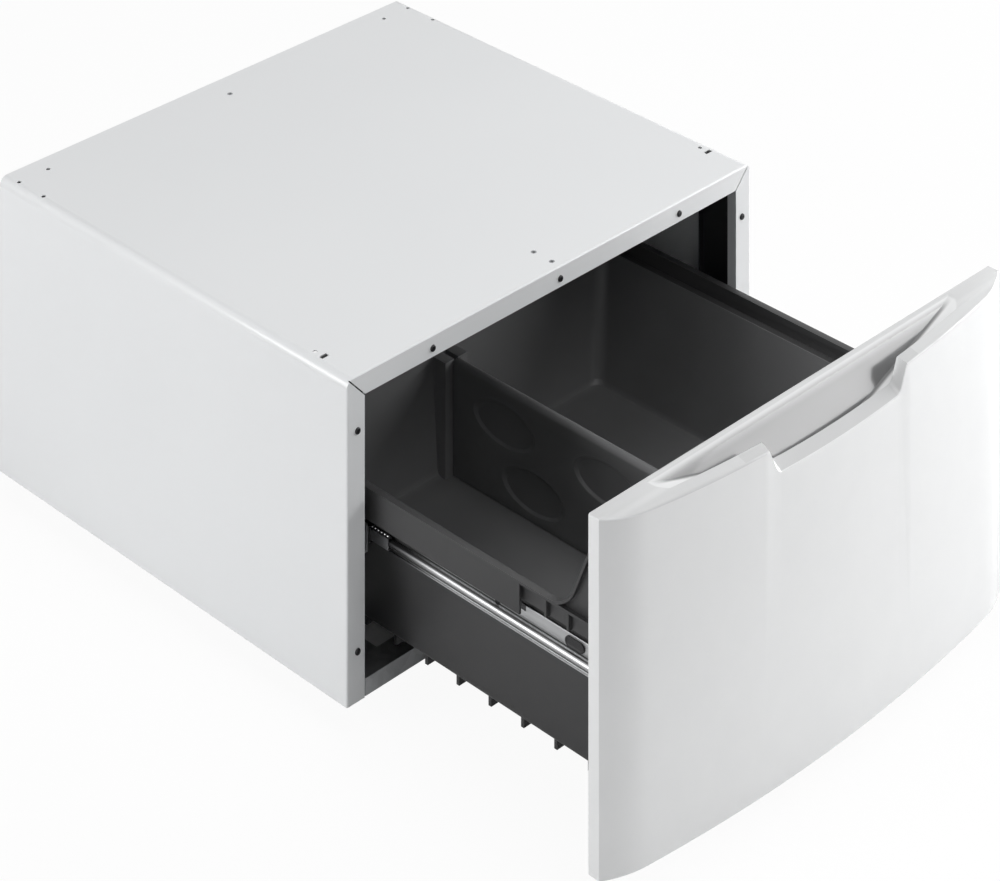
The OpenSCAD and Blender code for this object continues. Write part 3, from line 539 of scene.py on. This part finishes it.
def object_mode():
    bpy.ops.object.mode_set(mode="OBJECT")


def settle(location=True):
    """Writes the piece's turn and size, and its place unless told not to, into its mesh."""
    bpy.ops.object.transform_apply(location=location, rotation=True, scale=True)


def pull(x, y, z):
    """Extrudes what is selected along this way."""
    bpy.ops.mesh.extrude_region_move(TRANSFORM_OT_translate={"value": (x, y, z)})


def carve(thing, cutter, operation="DIFFERENCE"):
    """Cuts one solid with another and throws the cutter away."""
    tool = thing.modifiers.new("cut", "BOOLEAN")
    tool.operation = operation
    tool.solver = "EXACT"
    tool.object = cutter
    only(thing)
    bpy.ops.object.modifier_apply(modifier=tool.name)
    bpy.data.objects.remove(cutter)


# %% Helpers for finishing a piece
def round_off(thing, width, segments, angle):
    """Rounds every edge sharper than the angle and smooths the shading."""
    only(thing)
    edit_mode()
    everything()
    bpy.ops.mesh.remove_doubles(threshold=0.00002)
    bpy.ops.mesh.dissolve_limited(angle_limit=math.radians(0.6))
    bpy.ops.mesh.normals_make_consistent(inside=False)
    object_mode()
    bevel = thing.modifiers.new("round", "BEVEL")
    bevel.width = width
    bevel.segments = segments
    bevel.limit_method = "ANGLE"
    bevel.angle_limit = math.radians(angle)
    bpy.ops.object.modifier_apply(modifier=bevel.name)
    bpy.ops.object.shade_smooth_by_angle(angle=math.radians(35))


def fit_out(thing, name, body, slot, node):
    """Names a finished piece, dresses it, ties it to its body and hides the solid it replaces."""
    thing.name = name
    thing.data.name = name
    thing.data.materials.clear()
    thing.data.materials.append(FINISHES[slot])
    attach(thing, body)
    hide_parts(node)
    print("piece:", name, "faces:", len(thing.data.polygons))


# %% [markdown]
# ## Drawer front
# The front is a moulded panel that bows gently in plan and turns tighter at both sides.
# A flat block could be bent with a modifier, but the two radii are known, so an upright
# edge is spun round each centre in turn: a short tight turn, the long wide curve and
# another tight turn. The strip is then pulled back to a flat plane.

# %% Drawer front: bowed shell
SIDE_DEPTH = 0.015
TIGHT_X = 0.27275
TIGHT_Y = -0.59762
TIGHT_TURN = math.radians(25.57)
WIDE_HALF = 0.29

nothing()
bpy.ops.mesh.primitive_plane_add(size=1, rotation=(math.pi / 2, 0, 0))
panel = bpy.context.active_object
settle(location=False)
pick(panel, "VERT", lambda middle, corner: middle.x > 0)
bpy.ops.mesh.delete(type="VERT")
everything()
bpy.ops.transform.resize(value=(0, 0, TOP - LOW), center_override=(0, 0, 0))
bpy.ops.transform.translate(value=(-SIDE, BACK - SIDE_DEPTH, (TOP + LOW) / 2))
for steps, turn, x, y in (
    (18, TIGHT_TURN, -TIGHT_X, TIGHT_Y),
    (96, 2 * math.asin(WIDE_HALF / WIDE_RADIUS), 0, WIDE_Y),
    (18, TIGHT_TURN, TIGHT_X, TIGHT_Y),
):
    bpy.ops.mesh.spin(steps=steps, angle=-turn, center=(x, y, 0), axis=(0, 0, 1))
everything()
bpy.ops.mesh.remove_doubles(threshold=0.00001)
bpy.ops.mesh.extrude_region_move()
bpy.ops.transform.resize(value=(1, 0, 1), center_override=(0, BACK, 0))
object_mode()
print("panel box:", [round(v, 4) for v in panel.dimensions])

# %% [markdown]
# The top is cut so that it falls towards the user. Spinning left the faces turned inwards,
# so they are turned out before any is picked by its direction. The edge between the flat
# top and the face is then rounded, all the way from side to side.

# %% Drawer front: top
only(panel)
edit_mode()
everything()
bpy.ops.mesh.bisect(
    plane_co=(0, FALL_STARTS, TOP), plane_no=(0, -math.sin(TOP_FALL), math.cos(TOP_FALL)),
    clear_outer=True, use_fill=True,
)
everything()
bpy.ops.mesh.normals_make_consistent(inside=False)


def top_edge(middle, edge):
    """True on an edge between the flat top and the upright face."""
    if middle.z < TOP - 0.015 or middle.y > BACK - 0.002 or len(edge.link_faces) != 2:
        return False
    flat, upright = sorted((abs(face.normal.z) for face in edge.link_faces), reverse=True)
    return flat > 0.9 and upright < 0.1


print("top edges:", pick(panel, "EDGE", top_edge))
bpy.ops.mesh.bevel(offset=0.0018, segments=4, affect="EDGES")
object_mode()

# %% [markdown]
# The back of the panel is a shallow tray, so that the back plate and the bin's front wall
# lie inside it. Behind the plate it is hollow. Insetting the back and pushing it in makes
# the tray and leaves a rim of even width.

# %% Drawer front: tray at the back
TRAY_RIM = 0.003
TRAY_DEPTH = 0.0054
HOLLOW_DEPTH = 0.006
HOLLOW_TOP = 0.358

found = pick(panel, "FACE", lambda middle, face: abs(middle.y - BACK) < CLOSE and face.normal.y > 0.9)
print("back faces:", found)
bpy.ops.mesh.dissolve_faces()
bpy.ops.mesh.inset(thickness=TRAY_RIM, depth=0)
pull(0, -TRAY_DEPTH, 0)
bpy.ops.mesh.bisect(plane_co=(0, 0, HOLLOW_TOP), plane_no=(0, 0, 1))
pick(
    panel, "FACE",
    lambda middle, face: abs(middle.y - BACK + TRAY_DEPTH) < CLOSE and middle.z < HOLLOW_TOP,
)
pull(0, -HOLLOW_DEPTH, 0)
object_mode()
print("panel faces:", len(panel.data.polygons))

# %% [markdown]
# ## Finger scoop
# Behind the lip lies a boat-shaped hollow. Its back rolls over softly from the flat top
# and falls steeply; its floor sinks from both ends towards the middle, and the lip stands
# in front of it. The cutter starts as a block that is bisected, so that a slab can be
# pulled out of its back; the inner corner below the slab is rounded and becomes the roll.

# %% Scoop cutter
CUTTER_DEPTH = 0.070
CUTTER_WIDTH = 0.56
CUTTER_TOP = TOP + 0.02
SLAB = 0.016
ROLL = 0.0062
ROLL_LEVEL = TOP + 0.00005

nothing()
bpy.ops.mesh.primitive_cube_add(
    size=1, location=(0, SCOOP_BACK - CUTTER_DEPTH / 2, (SCOOP_LOW + CUTTER_TOP) / 2),
    scale=(CUTTER_WIDTH, CUTTER_DEPTH, CUTTER_TOP - SCOOP_LOW),
)
scoop_cutter = bpy.context.active_object
settle()
edit_mode()
everything()
bpy.ops.mesh.bisect(plane_co=(0, 0, ROLL_LEVEL), plane_no=(0, 0, 1))
pick(scoop_cutter, "FACE", lambda middle, face: face.normal.y > 0.9 and middle.z > ROLL_LEVEL)
pull(0, SLAB, 0)
pick(
    scoop_cutter, "VERT",
    lambda middle, corner: middle.z < SCOOP_LOW + 0.001 and middle.y > SCOOP_BACK - 0.001,
)
bpy.ops.transform.translate(value=(0, -(ROLL_LEVEL - SCOOP_LOW) / math.tan(RAMP_ANGLE), 0))
found = pick(
    scoop_cutter, "EDGE",
    lambda middle, edge: abs(middle.z - ROLL_LEVEL) < CLOSE
    and abs(middle.y - SCOOP_BACK) < CLOSE and edge.calc_length() > 0.3,
)
bpy.ops.mesh.bevel(offset=ROLL, segments=10, affect="EDGES")
object_mode()
print("roll edges:", found)

# %% [markdown]
# Two more bisections give the sinking floor, and its keel is rounded wide. A very large
# upright cylinder, which shares the front's own centre, trims the block at the lip.

# %% Scoop floor and lip
FLOOR_FALL = math.radians(11.5)
KEEL = 0.035

for side in (-1, 1):
    pick(scoop_cutter, "FACE", lambda middle, face: True)
    bpy.ops.mesh.bisect(
        plane_co=(side * SCOOP_HALF, 0, TOP),
        plane_no=(side * math.sin(FLOOR_FALL), 0, -math.cos(FLOOR_FALL)),
        clear_outer=True, use_fill=True,
    )
found = pick(
    scoop_cutter, "EDGE",
    lambda middle, edge: abs(middle.x) < CLOSE and middle.z < SCOOP_LOW + 0.02
    and abs(edge.verts[0].co.y - edge.verts[1].co.y) > 0.005,
)
bpy.ops.mesh.bevel(offset=KEEL, segments=10, affect="EDGES")
object_mode()
print("keel edges:", found)
nothing()
bpy.ops.mesh.primitive_cylinder_add(
    vertices=2400, radius=WIDE_RADIUS - LIP, depth=0.2, location=(0, WIDE_Y, TOP - 0.0044),
)
lip_block = bpy.context.active_object
carve(scoop_cutter, lip_block, "INTERSECT")
carve(panel, scoop_cutter)
print("scooped panel faces:", len(panel.data.polygons))

# %% [markdown]
# ## Notch in the lip
# The middle of the lip is cut away in a wide trapezium, so that a hand can reach in from
# the front. Its floor rises towards the back. The cutter is a plane with slanted ends and
# rounded corners: the lower pair rounds the notch itself. It is pulled out into a bar and
# tilted.

# %% Notch cutter
NOTCH_FLOOR = 0.3640
NOTCH_MIDDLE = 0.006
NOTCH_WIDTH = 0.210
NOTCH_HEIGHT = 0.060
NOTCH_FLARE = 1.34
NOTCH_CORNER = 0.006
NOTCH_TILT = math.radians(33)
BAR_LENGTH = 0.070
BAR_AHEAD = 0.030

nothing()
bpy.ops.mesh.primitive_plane_add(size=1, rotation=(math.pi / 2, 0, 0))
notch_cutter = bpy.context.active_object
settle(location=False)
edit_mode()
everything()
bpy.ops.transform.resize(value=(NOTCH_WIDTH, 1, NOTCH_HEIGHT))
bpy.ops.transform.translate(value=(0, 0, NOTCH_HEIGHT / 2))
pick(notch_cutter, "VERT", lambda middle, corner: middle.z > NOTCH_HEIGHT / 2)
bpy.ops.transform.resize(value=(NOTCH_FLARE, 1, 1), center_override=(0, 0, NOTCH_HEIGHT))
pick(notch_cutter, "VERT", lambda middle, corner: middle.z < NOTCH_HEIGHT / 2)
bpy.ops.mesh.bevel(offset=NOTCH_CORNER, segments=8, affect="VERTICES", offset_type="OFFSET")
everything()
pull(0, BAR_LENGTH, 0)
everything()
bpy.ops.mesh.normals_make_consistent(inside=False)
bpy.ops.transform.translate(value=(0, -BAR_AHEAD, 0))
bpy.ops.transform.rotate(value=-NOTCH_TILT, orient_axis="X", center_override=(0, 0, 0))
bpy.ops.transform.translate(value=(NOTCH_MIDDLE, FACE, NOTCH_FLOOR))
object_mode()
carve(panel, notch_cutter)
print("notched panel faces:", len(panel.data.polygons))

# %% [markdown]
# Every edge that is still sharp gets a small even rounding that catches the light. The
# bevel keeps it narrow enough for the narrowest faces, so that none of them folds over.

# %% Drawer front: rounding
round_off(panel, 0.0022, segments=4, angle=22)
fit_out(panel, "drawer_front_panel", "drawer", "white_front", "drawer_front")

# %% [markdown]
# ## Divider
# The divider is one thick moulding with a full round along its top and dished ovals on
# both faces, in two staggered rows. It slides down between guides on two thin tongues.
# A bar is rounded along its top edges; each tongue is an end face that is drawn in and
# pulled out.

# %% Divider: bar and tongues
WALL = 0.013
DIVIDER_ENDS = (-0.6759, -0.1431)
DIVIDER_LOW = 0.075
DIVIDER_TOP = 0.216
DIVIDER_HEIGHT = DIVIDER_TOP - DIVIDER_LOW
DIVIDER_MIDDLE = (DIVIDER_LOW + DIVIDER_TOP) / 2
TONGUE = 0.006
TONGUE_LOW = 0.084
TONGUE_TOP = 0.204
TONGUE_ENDS = (-0.6895, -0.1305)
TOP_ROUND = 0.0062

nothing()
bpy.ops.mesh.primitive_cube_add(
    size=1, location=(0, sum(DIVIDER_ENDS) / 2, DIVIDER_MIDDLE),
    scale=(WALL, DIVIDER_ENDS[1] - DIVIDER_ENDS[0], DIVIDER_HEIGHT),
)
divider = bpy.context.active_object
settle()
for end, tip in zip(DIVIDER_ENDS, TONGUE_ENDS):
    pick(divider, "FACE", lambda middle, face: abs(middle.y - end) < CLOSE)
    bpy.ops.mesh.extrude_region_move()
    bpy.ops.transform.resize(
        value=(TONGUE / WALL, 1, (TONGUE_TOP - TONGUE_LOW) / DIVIDER_HEIGHT),
        center_override=(0, end, DIVIDER_MIDDLE),
    )
    bpy.ops.transform.translate(value=(0, 0, (TONGUE_LOW + TONGUE_TOP) / 2 - DIVIDER_MIDDLE))
    pull(0, tip - end, 0)
pick(
    divider, "EDGE",
    lambda middle, edge: middle.z > DIVIDER_TOP - CLOSE and edge.calc_length() > 0.3,
)
bpy.ops.mesh.bevel(offset=TOP_ROUND, segments=8, affect="EDGES")
object_mode()
print("divider faces:", len(divider.data.polygons))

# %% [markdown]
# The ovals are shallow dishes with a sloping rim. A cone is flattened to the oval and
# pulled out behind, so that it can be sunk into the face as a cutter; its slanted side
# becomes the rim. One cutter is shaped and then copied to all twelve places.

# %% Divider: one oval cutter
OVAL_LENGTH = 0.052
OVAL_HEIGHT = 0.025
OVAL_DEPTH = 0.0028
OVAL_RIM = 0.006
OVAL_BEHIND = 0.004

nothing()
bpy.ops.mesh.primitive_cone_add(
    vertices=72, radius1=1 - OVAL_RIM / OVAL_LENGTH, radius2=1, depth=1, location=(0, 0, 0),
    end_fill_type="NGON",
)
dish = bpy.context.active_object
edit_mode()
everything()
bpy.ops.transform.translate(value=(0, 0, -0.5))
bpy.ops.transform.resize(value=(OVAL_HEIGHT, OVAL_LENGTH, OVAL_DEPTH), center_override=(0, 0, 0))
pick(dish, "FACE", lambda middle, face: face.normal.z > 0.9)
pull(0, 0, OVAL_BEHIND)
object_mode()
print("oval cutter faces:", len(dish.data.polygons))

# %% Divider: twelve ovals
UPPER_ROW = (0.171, (-0.2305, -0.3985, -0.5665))
LOWER_ROW = (0.110, (-0.2795, -0.4475, -0.6155))


def copy_of(thing):
    """A copy with a mesh of its own."""
    copy = thing.copy()
    copy.data = thing.data.copy()
    bpy.context.collection.objects.link(copy)
    return copy


for side in (-1, 1):
    for level, places in (UPPER_ROW, LOWER_ROW):
        for place in places:
            cutter = copy_of(dish)
            cutter.rotation_euler = (0, side * math.pi / 2, 0)
            cutter.location = (side * WALL / 2, place, level)
            only(cutter)
            settle()
            carve(divider, cutter)
bpy.data.objects.remove(dish)
round_off(divider, 0.0011, segments=3, angle=20)
fit_out(divider, "divider_panel", "divider", "dark_plastic", "divider")

# %% [markdown]
# ## Flange screws
# Seven blackened pan-head screws hold the braces behind the flanges. Each has a domed
# head with a cross recess and a plain shank. One is modelled at the origin, with its head
# towards the user, and copied to the seven places; the copies are then joined.

# %% One flange screw
HEAD = 0.0038
HEAD_HEIGHT = 0.002
DOME = 0.0013
SHANK = 0.0019
SHANK_LENGTH = 0.008
RECESS = (0.0042, 0.0022, 0.0009)

nothing()
bpy.ops.mesh.primitive_cylinder_add(
    vertices=40, radius=HEAD, depth=HEAD_HEIGHT, location=(0, -HEAD_HEIGHT / 2, 0),
    rotation=(math.pi / 2, 0, 0),
)
screw = bpy.context.active_object
settle()
pick(screw, "EDGE", lambda middle, edge: all(v.co.y < CLOSE - HEAD_HEIGHT for v in edge.verts))
bpy.ops.mesh.bevel(offset=DOME, segments=5, affect="EDGES")
pick(screw, "FACE", lambda middle, face: face.normal.y > 0.9)
bpy.ops.mesh.inset(thickness=HEAD - SHANK, depth=0)
pull(0, SHANK_LENGTH, 0)
object_mode()
for turn in (0, math.pi / 2):
    nothing()
    bpy.ops.mesh.primitive_cube_add(
        size=1, location=(0, -HEAD_HEIGHT, 0), scale=RECESS, rotation=(0, turn, 0),
    )
    slot_cutter = bpy.context.active_object
    settle()
    pick(slot_cutter, "FACE", lambda middle, face: face.normal.y > 0.9)
    bpy.ops.transform.resize(value=(0.5, 1, 0.5), center_override=(0, 0, 0))
    object_mode()
    carve(screw, slot_cutter)
only(screw)
bpy.ops.object.shade_smooth_by_angle(angle=math.radians(40))
print("screw faces:", len(screw.data.polygons))

# %% Seven flange screws
FLANGE = -0.3185
SIDE_SCREW_X = 0.327
SIDE_SCREW_Z = (0.0854, 0.3325)
TOP_SCREW_X = (-0.210, 0.0, 0.210)
TOP_SCREW_Z = 0.379

screw_places = [(side * SIDE_SCREW_X, z) for side in (-1, 1) for z in SIDE_SCREW_Z]
screw_places += [(x, TOP_SCREW_Z) for x in TOP_SCREW_X]
screws = []
for x, z in screw_places:
    copy = copy_of(screw)
    copy.location = (x, FLANGE, z)
    screws.append(copy)
bpy.data.objects.remove(screw)
only(screws[0])
for copy in screws:
    copy.select_set(True)
bpy.ops.object.join()
settle()
fit_out(screws[0], "flange_screw_set", "cabinet", "black_screw", "flange_screws")

# %% [markdown]
# ## Oval buffers
# A small oval rubber pad sits on each slide's tab and meets the cabinet when the drawer
# shuts. A cylinder is pulled apart along its length into an oval and its face is dished.

# %% Oval buffers
BUFFER_Y = -0.6185
BUFFER_Z = 0.2112
BUFFER_X = (0.2882, 0.2902)
BUFFER_LENGTH = 0.028
BUFFER_HEIGHT = 0.011
BUFFER_RIM = 0.0017
DISH_SLOPE = 0.0006
DISH_DEPTH = 0.0008

for side, name in ((-1, "left"), (1, "right")):
    nothing()
    bpy.ops.mesh.primitive_cylinder_add(
        vertices=50, radius=BUFFER_HEIGHT / 2, depth=BUFFER_X[1] - BUFFER_X[0],
        location=(0, 0, 0), rotation=(0, math.pi / 2, 0),
    )
    pad = bpy.context.active_object
    settle()
    for sign in (-1, 1):
        pick(pad, "VERT", lambda middle, corner: middle.y * sign > 0.00001)
        bpy.ops.transform.translate(value=(0, sign * (BUFFER_LENGTH - BUFFER_HEIGHT) / 2, 0))
    pick(pad, "FACE", lambda middle, face: face.normal.x * side > 0.9)
    bpy.ops.mesh.inset(thickness=BUFFER_RIM, depth=0)
    bpy.ops.mesh.inset(thickness=DISH_SLOPE, depth=-DISH_DEPTH)
    everything()
    bpy.ops.transform.translate(value=(side * sum(BUFFER_X) / 2, BUFFER_Y, BUFFER_Z))
    object_mode()
    round_off(pad, 0.0004, segments=2, angle=30)
    fit_out(pad, "buffer_" + name, "drawer", "black_rubber", "bumper_" + name)

# %% [markdown]
# ## Soft edges
# No edge on the real object is knife sharp: bent sheet and moulded plastic both turn in a
# small radius that catches the light. A bevel that works only on sharp edges does this
# without touching the solid itself. Its triangles meet at doubled points, so a weld joins
# them first.

# %% Round the edges of the carried-over solids
SOFT_EDGES = {
    0.0003: ("slide_channel_left", "slide_channel_right", "slide_rail_left", "slide_rail_right"),
    0.0004: (
        "cabinet_wrapper", "corner_upright_left", "corner_upright_right", "rail_plate_left",
        "rail_plate_right", "front_back_plate", "base_front_rail",
    ),
    0.0005: ("rail_rivets", "top_bushings"),
}


def soften(solid, width):
    """Adds the weld and the bevel to a solid that is otherwise left as it is."""
    weld = solid.modifiers.new("weld", "WELD")
    weld.merge_threshold = 0.00001
    bevel = solid.modifiers.new("soft_edges", "BEVEL")
    bevel.width = width
    bevel.segments = 2
    bevel.limit_method = "ANGLE"
    bevel.angle_limit = math.radians(32)


for width, names in SOFT_EDGES.items():
    for name in names:
        soften(NODES[name], width)
print("softened:", sum(len(names) for names in SOFT_EDGES.values()))

# %% [markdown]
# ## Bin
# The bin is one deep moulding, and its solid has the right form but hard edges. Its mesh
# is copied and merged, the rim's long edges are picked by the faces beside them and
# rounded widely, and then all the others get a small moulded radius.

# %% Bin
RIM_LEVEL = 0.254
RIM_ROUND = 0.0024

bin_tub = copy_of(NODES["drawer_bin"])
only(bin_tub)
edit_mode()
everything()
bpy.ops.mesh.customdata_custom_splitnormals_clear()
bpy.ops.mesh.remove_doubles(threshold=0.00002)
bpy.ops.mesh.dissolve_limited(angle_limit=math.radians(0.5))
object_mode()


def rim_edge(middle, edge):
    """True on an edge between the rim's upper face and the bin's outside."""
    if middle.z < RIM_LEVEL or len(edge.link_faces) != 2:
        return False
    first, second = (face.normal for face in edge.link_faces)
    if first.z < second.z:
        first, second = second, first
    outward = second.x * middle.x > 0 or (second.y > 0.5 and middle.y > -0.15)
    return first.z > 0.3 and abs(second.z) < 0.2 and outward and edge.calc_length() > CLOSE


print("rim edges:", pick(bin_tub, "EDGE", rim_edge))
bpy.ops.mesh.bevel(offset=RIM_ROUND, segments=5, affect="EDGES", clamp_overlap=True)
object_mode()
round_off(bin_tub, 0.0008, segments=2, angle=28)
fit_out(bin_tub, "bin_tub", "drawer", "dark_plastic", "drawer_bin")

# %% [markdown]
# ## Floor
# The object stands on a plain white floor. Brighter lamps could make it white, but they
# would bleach the object too. So the floor itself shows white to the camera, mixed with a
# little paper that keeps a faint shadow. Under the cabinet it stays all paper, where the
# dark below the front rail is seen.

# %% Floor
DARK_HALF_WIDTH = (0.292, 0.306)
DARK_HALF_LENGTH = (0.262, 0.280)
WHITE_SHARE = 0.94

nothing()
bpy.ops.mesh.primitive_plane_add(size=30, location=(0, 0, -0.0005))
floor = bpy.context.active_object
floor.name = "floor"
ground = Recipe("floor")
across, along = ground.axes()[:2]
beside = (across * across).step(*(edge ** 2 for edge in DARK_HALF_WIDTH))
beyond = (along * along).step(*(edge ** 2 for edge in DARK_HALF_LENGTH))
clear = 1 - (1 - beside) * (1 - beyond)
paper = ground.make("ShaderNodeBsdfPrincipled", {}, {
    "Base Color": ground.blend(ground.noise(2.0, 2), (0.90, 0.90, 0.90), (0.92, 0.92, 0.92)),
    "Roughness": 0.85,
})
glow = ground.make("ShaderNodeEmission", {}, {"Color": (1, 1, 1, 1), "Strength": 1.0})
rays = ground.make("ShaderNodeLightPath")
share = Amount(ground, rays.outputs["Is Camera Ray"]) * clear * WHITE_SHARE
sheet = ground.make("ShaderNodeMixShader", {}, {0: share, 1: paper.outputs[0], 2: glow.outputs[0]})
ground.make("ShaderNodeOutputMaterial", {}, {"Surface": sheet.outputs[0]})
floor.data.materials.append(ground.material)
print("floor with", len(ground.tree.nodes), "nodes")

# %% [markdown]
# ## Surroundings
# The world is white where the camera or a reflection sees it, as in a white studio, but
# it lights the object only faintly, so that the lamps decide where it is light or dark.

# %% World
FILL = 0.10

world = bpy.data.worlds.new("world")
bpy.context.scene.world = world
sky = Net(world)
rays = sky.make("ShaderNodeLightPath")
seen = sky.make("ShaderNodeMath", {"operation": "MAXIMUM"}, {
    0: rays.outputs["Is Camera Ray"], 1: rays.outputs["Is Glossy Ray"],
})
soft = sky.make("ShaderNodeBackground", {}, {"Color": (0.97, 0.98, 1.0, 1), "Strength": FILL})
white = sky.make("ShaderNodeBackground", {}, {"Color": (1, 1, 1, 1), "Strength": 1.0})
choose = sky.make("ShaderNodeMixShader", {}, {
    0: seen.outputs[0], 1: soft.outputs[0], 2: white.outputs[0],
})
sky.make("ShaderNodeOutputWorld", {}, {"Surface": choose.outputs[0]})
print("world with", len(sky.tree.nodes), "nodes")

# %% [markdown]
# ## Lamps
# Five large round lamps give the plain level of a studio, and none is in the picture. Two
# stand on the right and one on the left, one hangs above, and one shines from above in
# front. The strongest light both sides, because their faces turn away from the others.


# %% Lamps
def lamp(name, place, target, size, power):
    """Hangs a round lamp, turns it to its target and hides it from the camera."""
    data = bpy.data.lights.new(name, "AREA")
    data.shape = "DISK"
    data.size = size
    data.energy = power
    thing = bpy.data.objects.new(name, data)
    bpy.context.collection.objects.link(thing)
    thing.location = place
    aim = Vector(target) - Vector(place)
    thing.rotation_euler = aim.to_track_quat("-Z", "Y").to_euler()
    thing.visible_camera = False
    print("lamp:", name, "watts:", power)


lamp("key", (1.9, -2.0, 0.95), (0.2, -0.74, 0.25), 1.3, 27)
lamp("right", (3.4, -0.9, 1.3), (0, -0.5, 0.25), 1.8, 64)
lamp("left", (-3.6, 0.9, 1.5), (-0.3, 0, 0.2), 2.2, 78)
lamp("top", (0.1, -0.3, 3.2), (0, -0.35, 0.3), 2.2, 28)
lamp("front", (-0.2, -2.4, 2.8), (0, -0.4, 0.2), 1.8, 20)
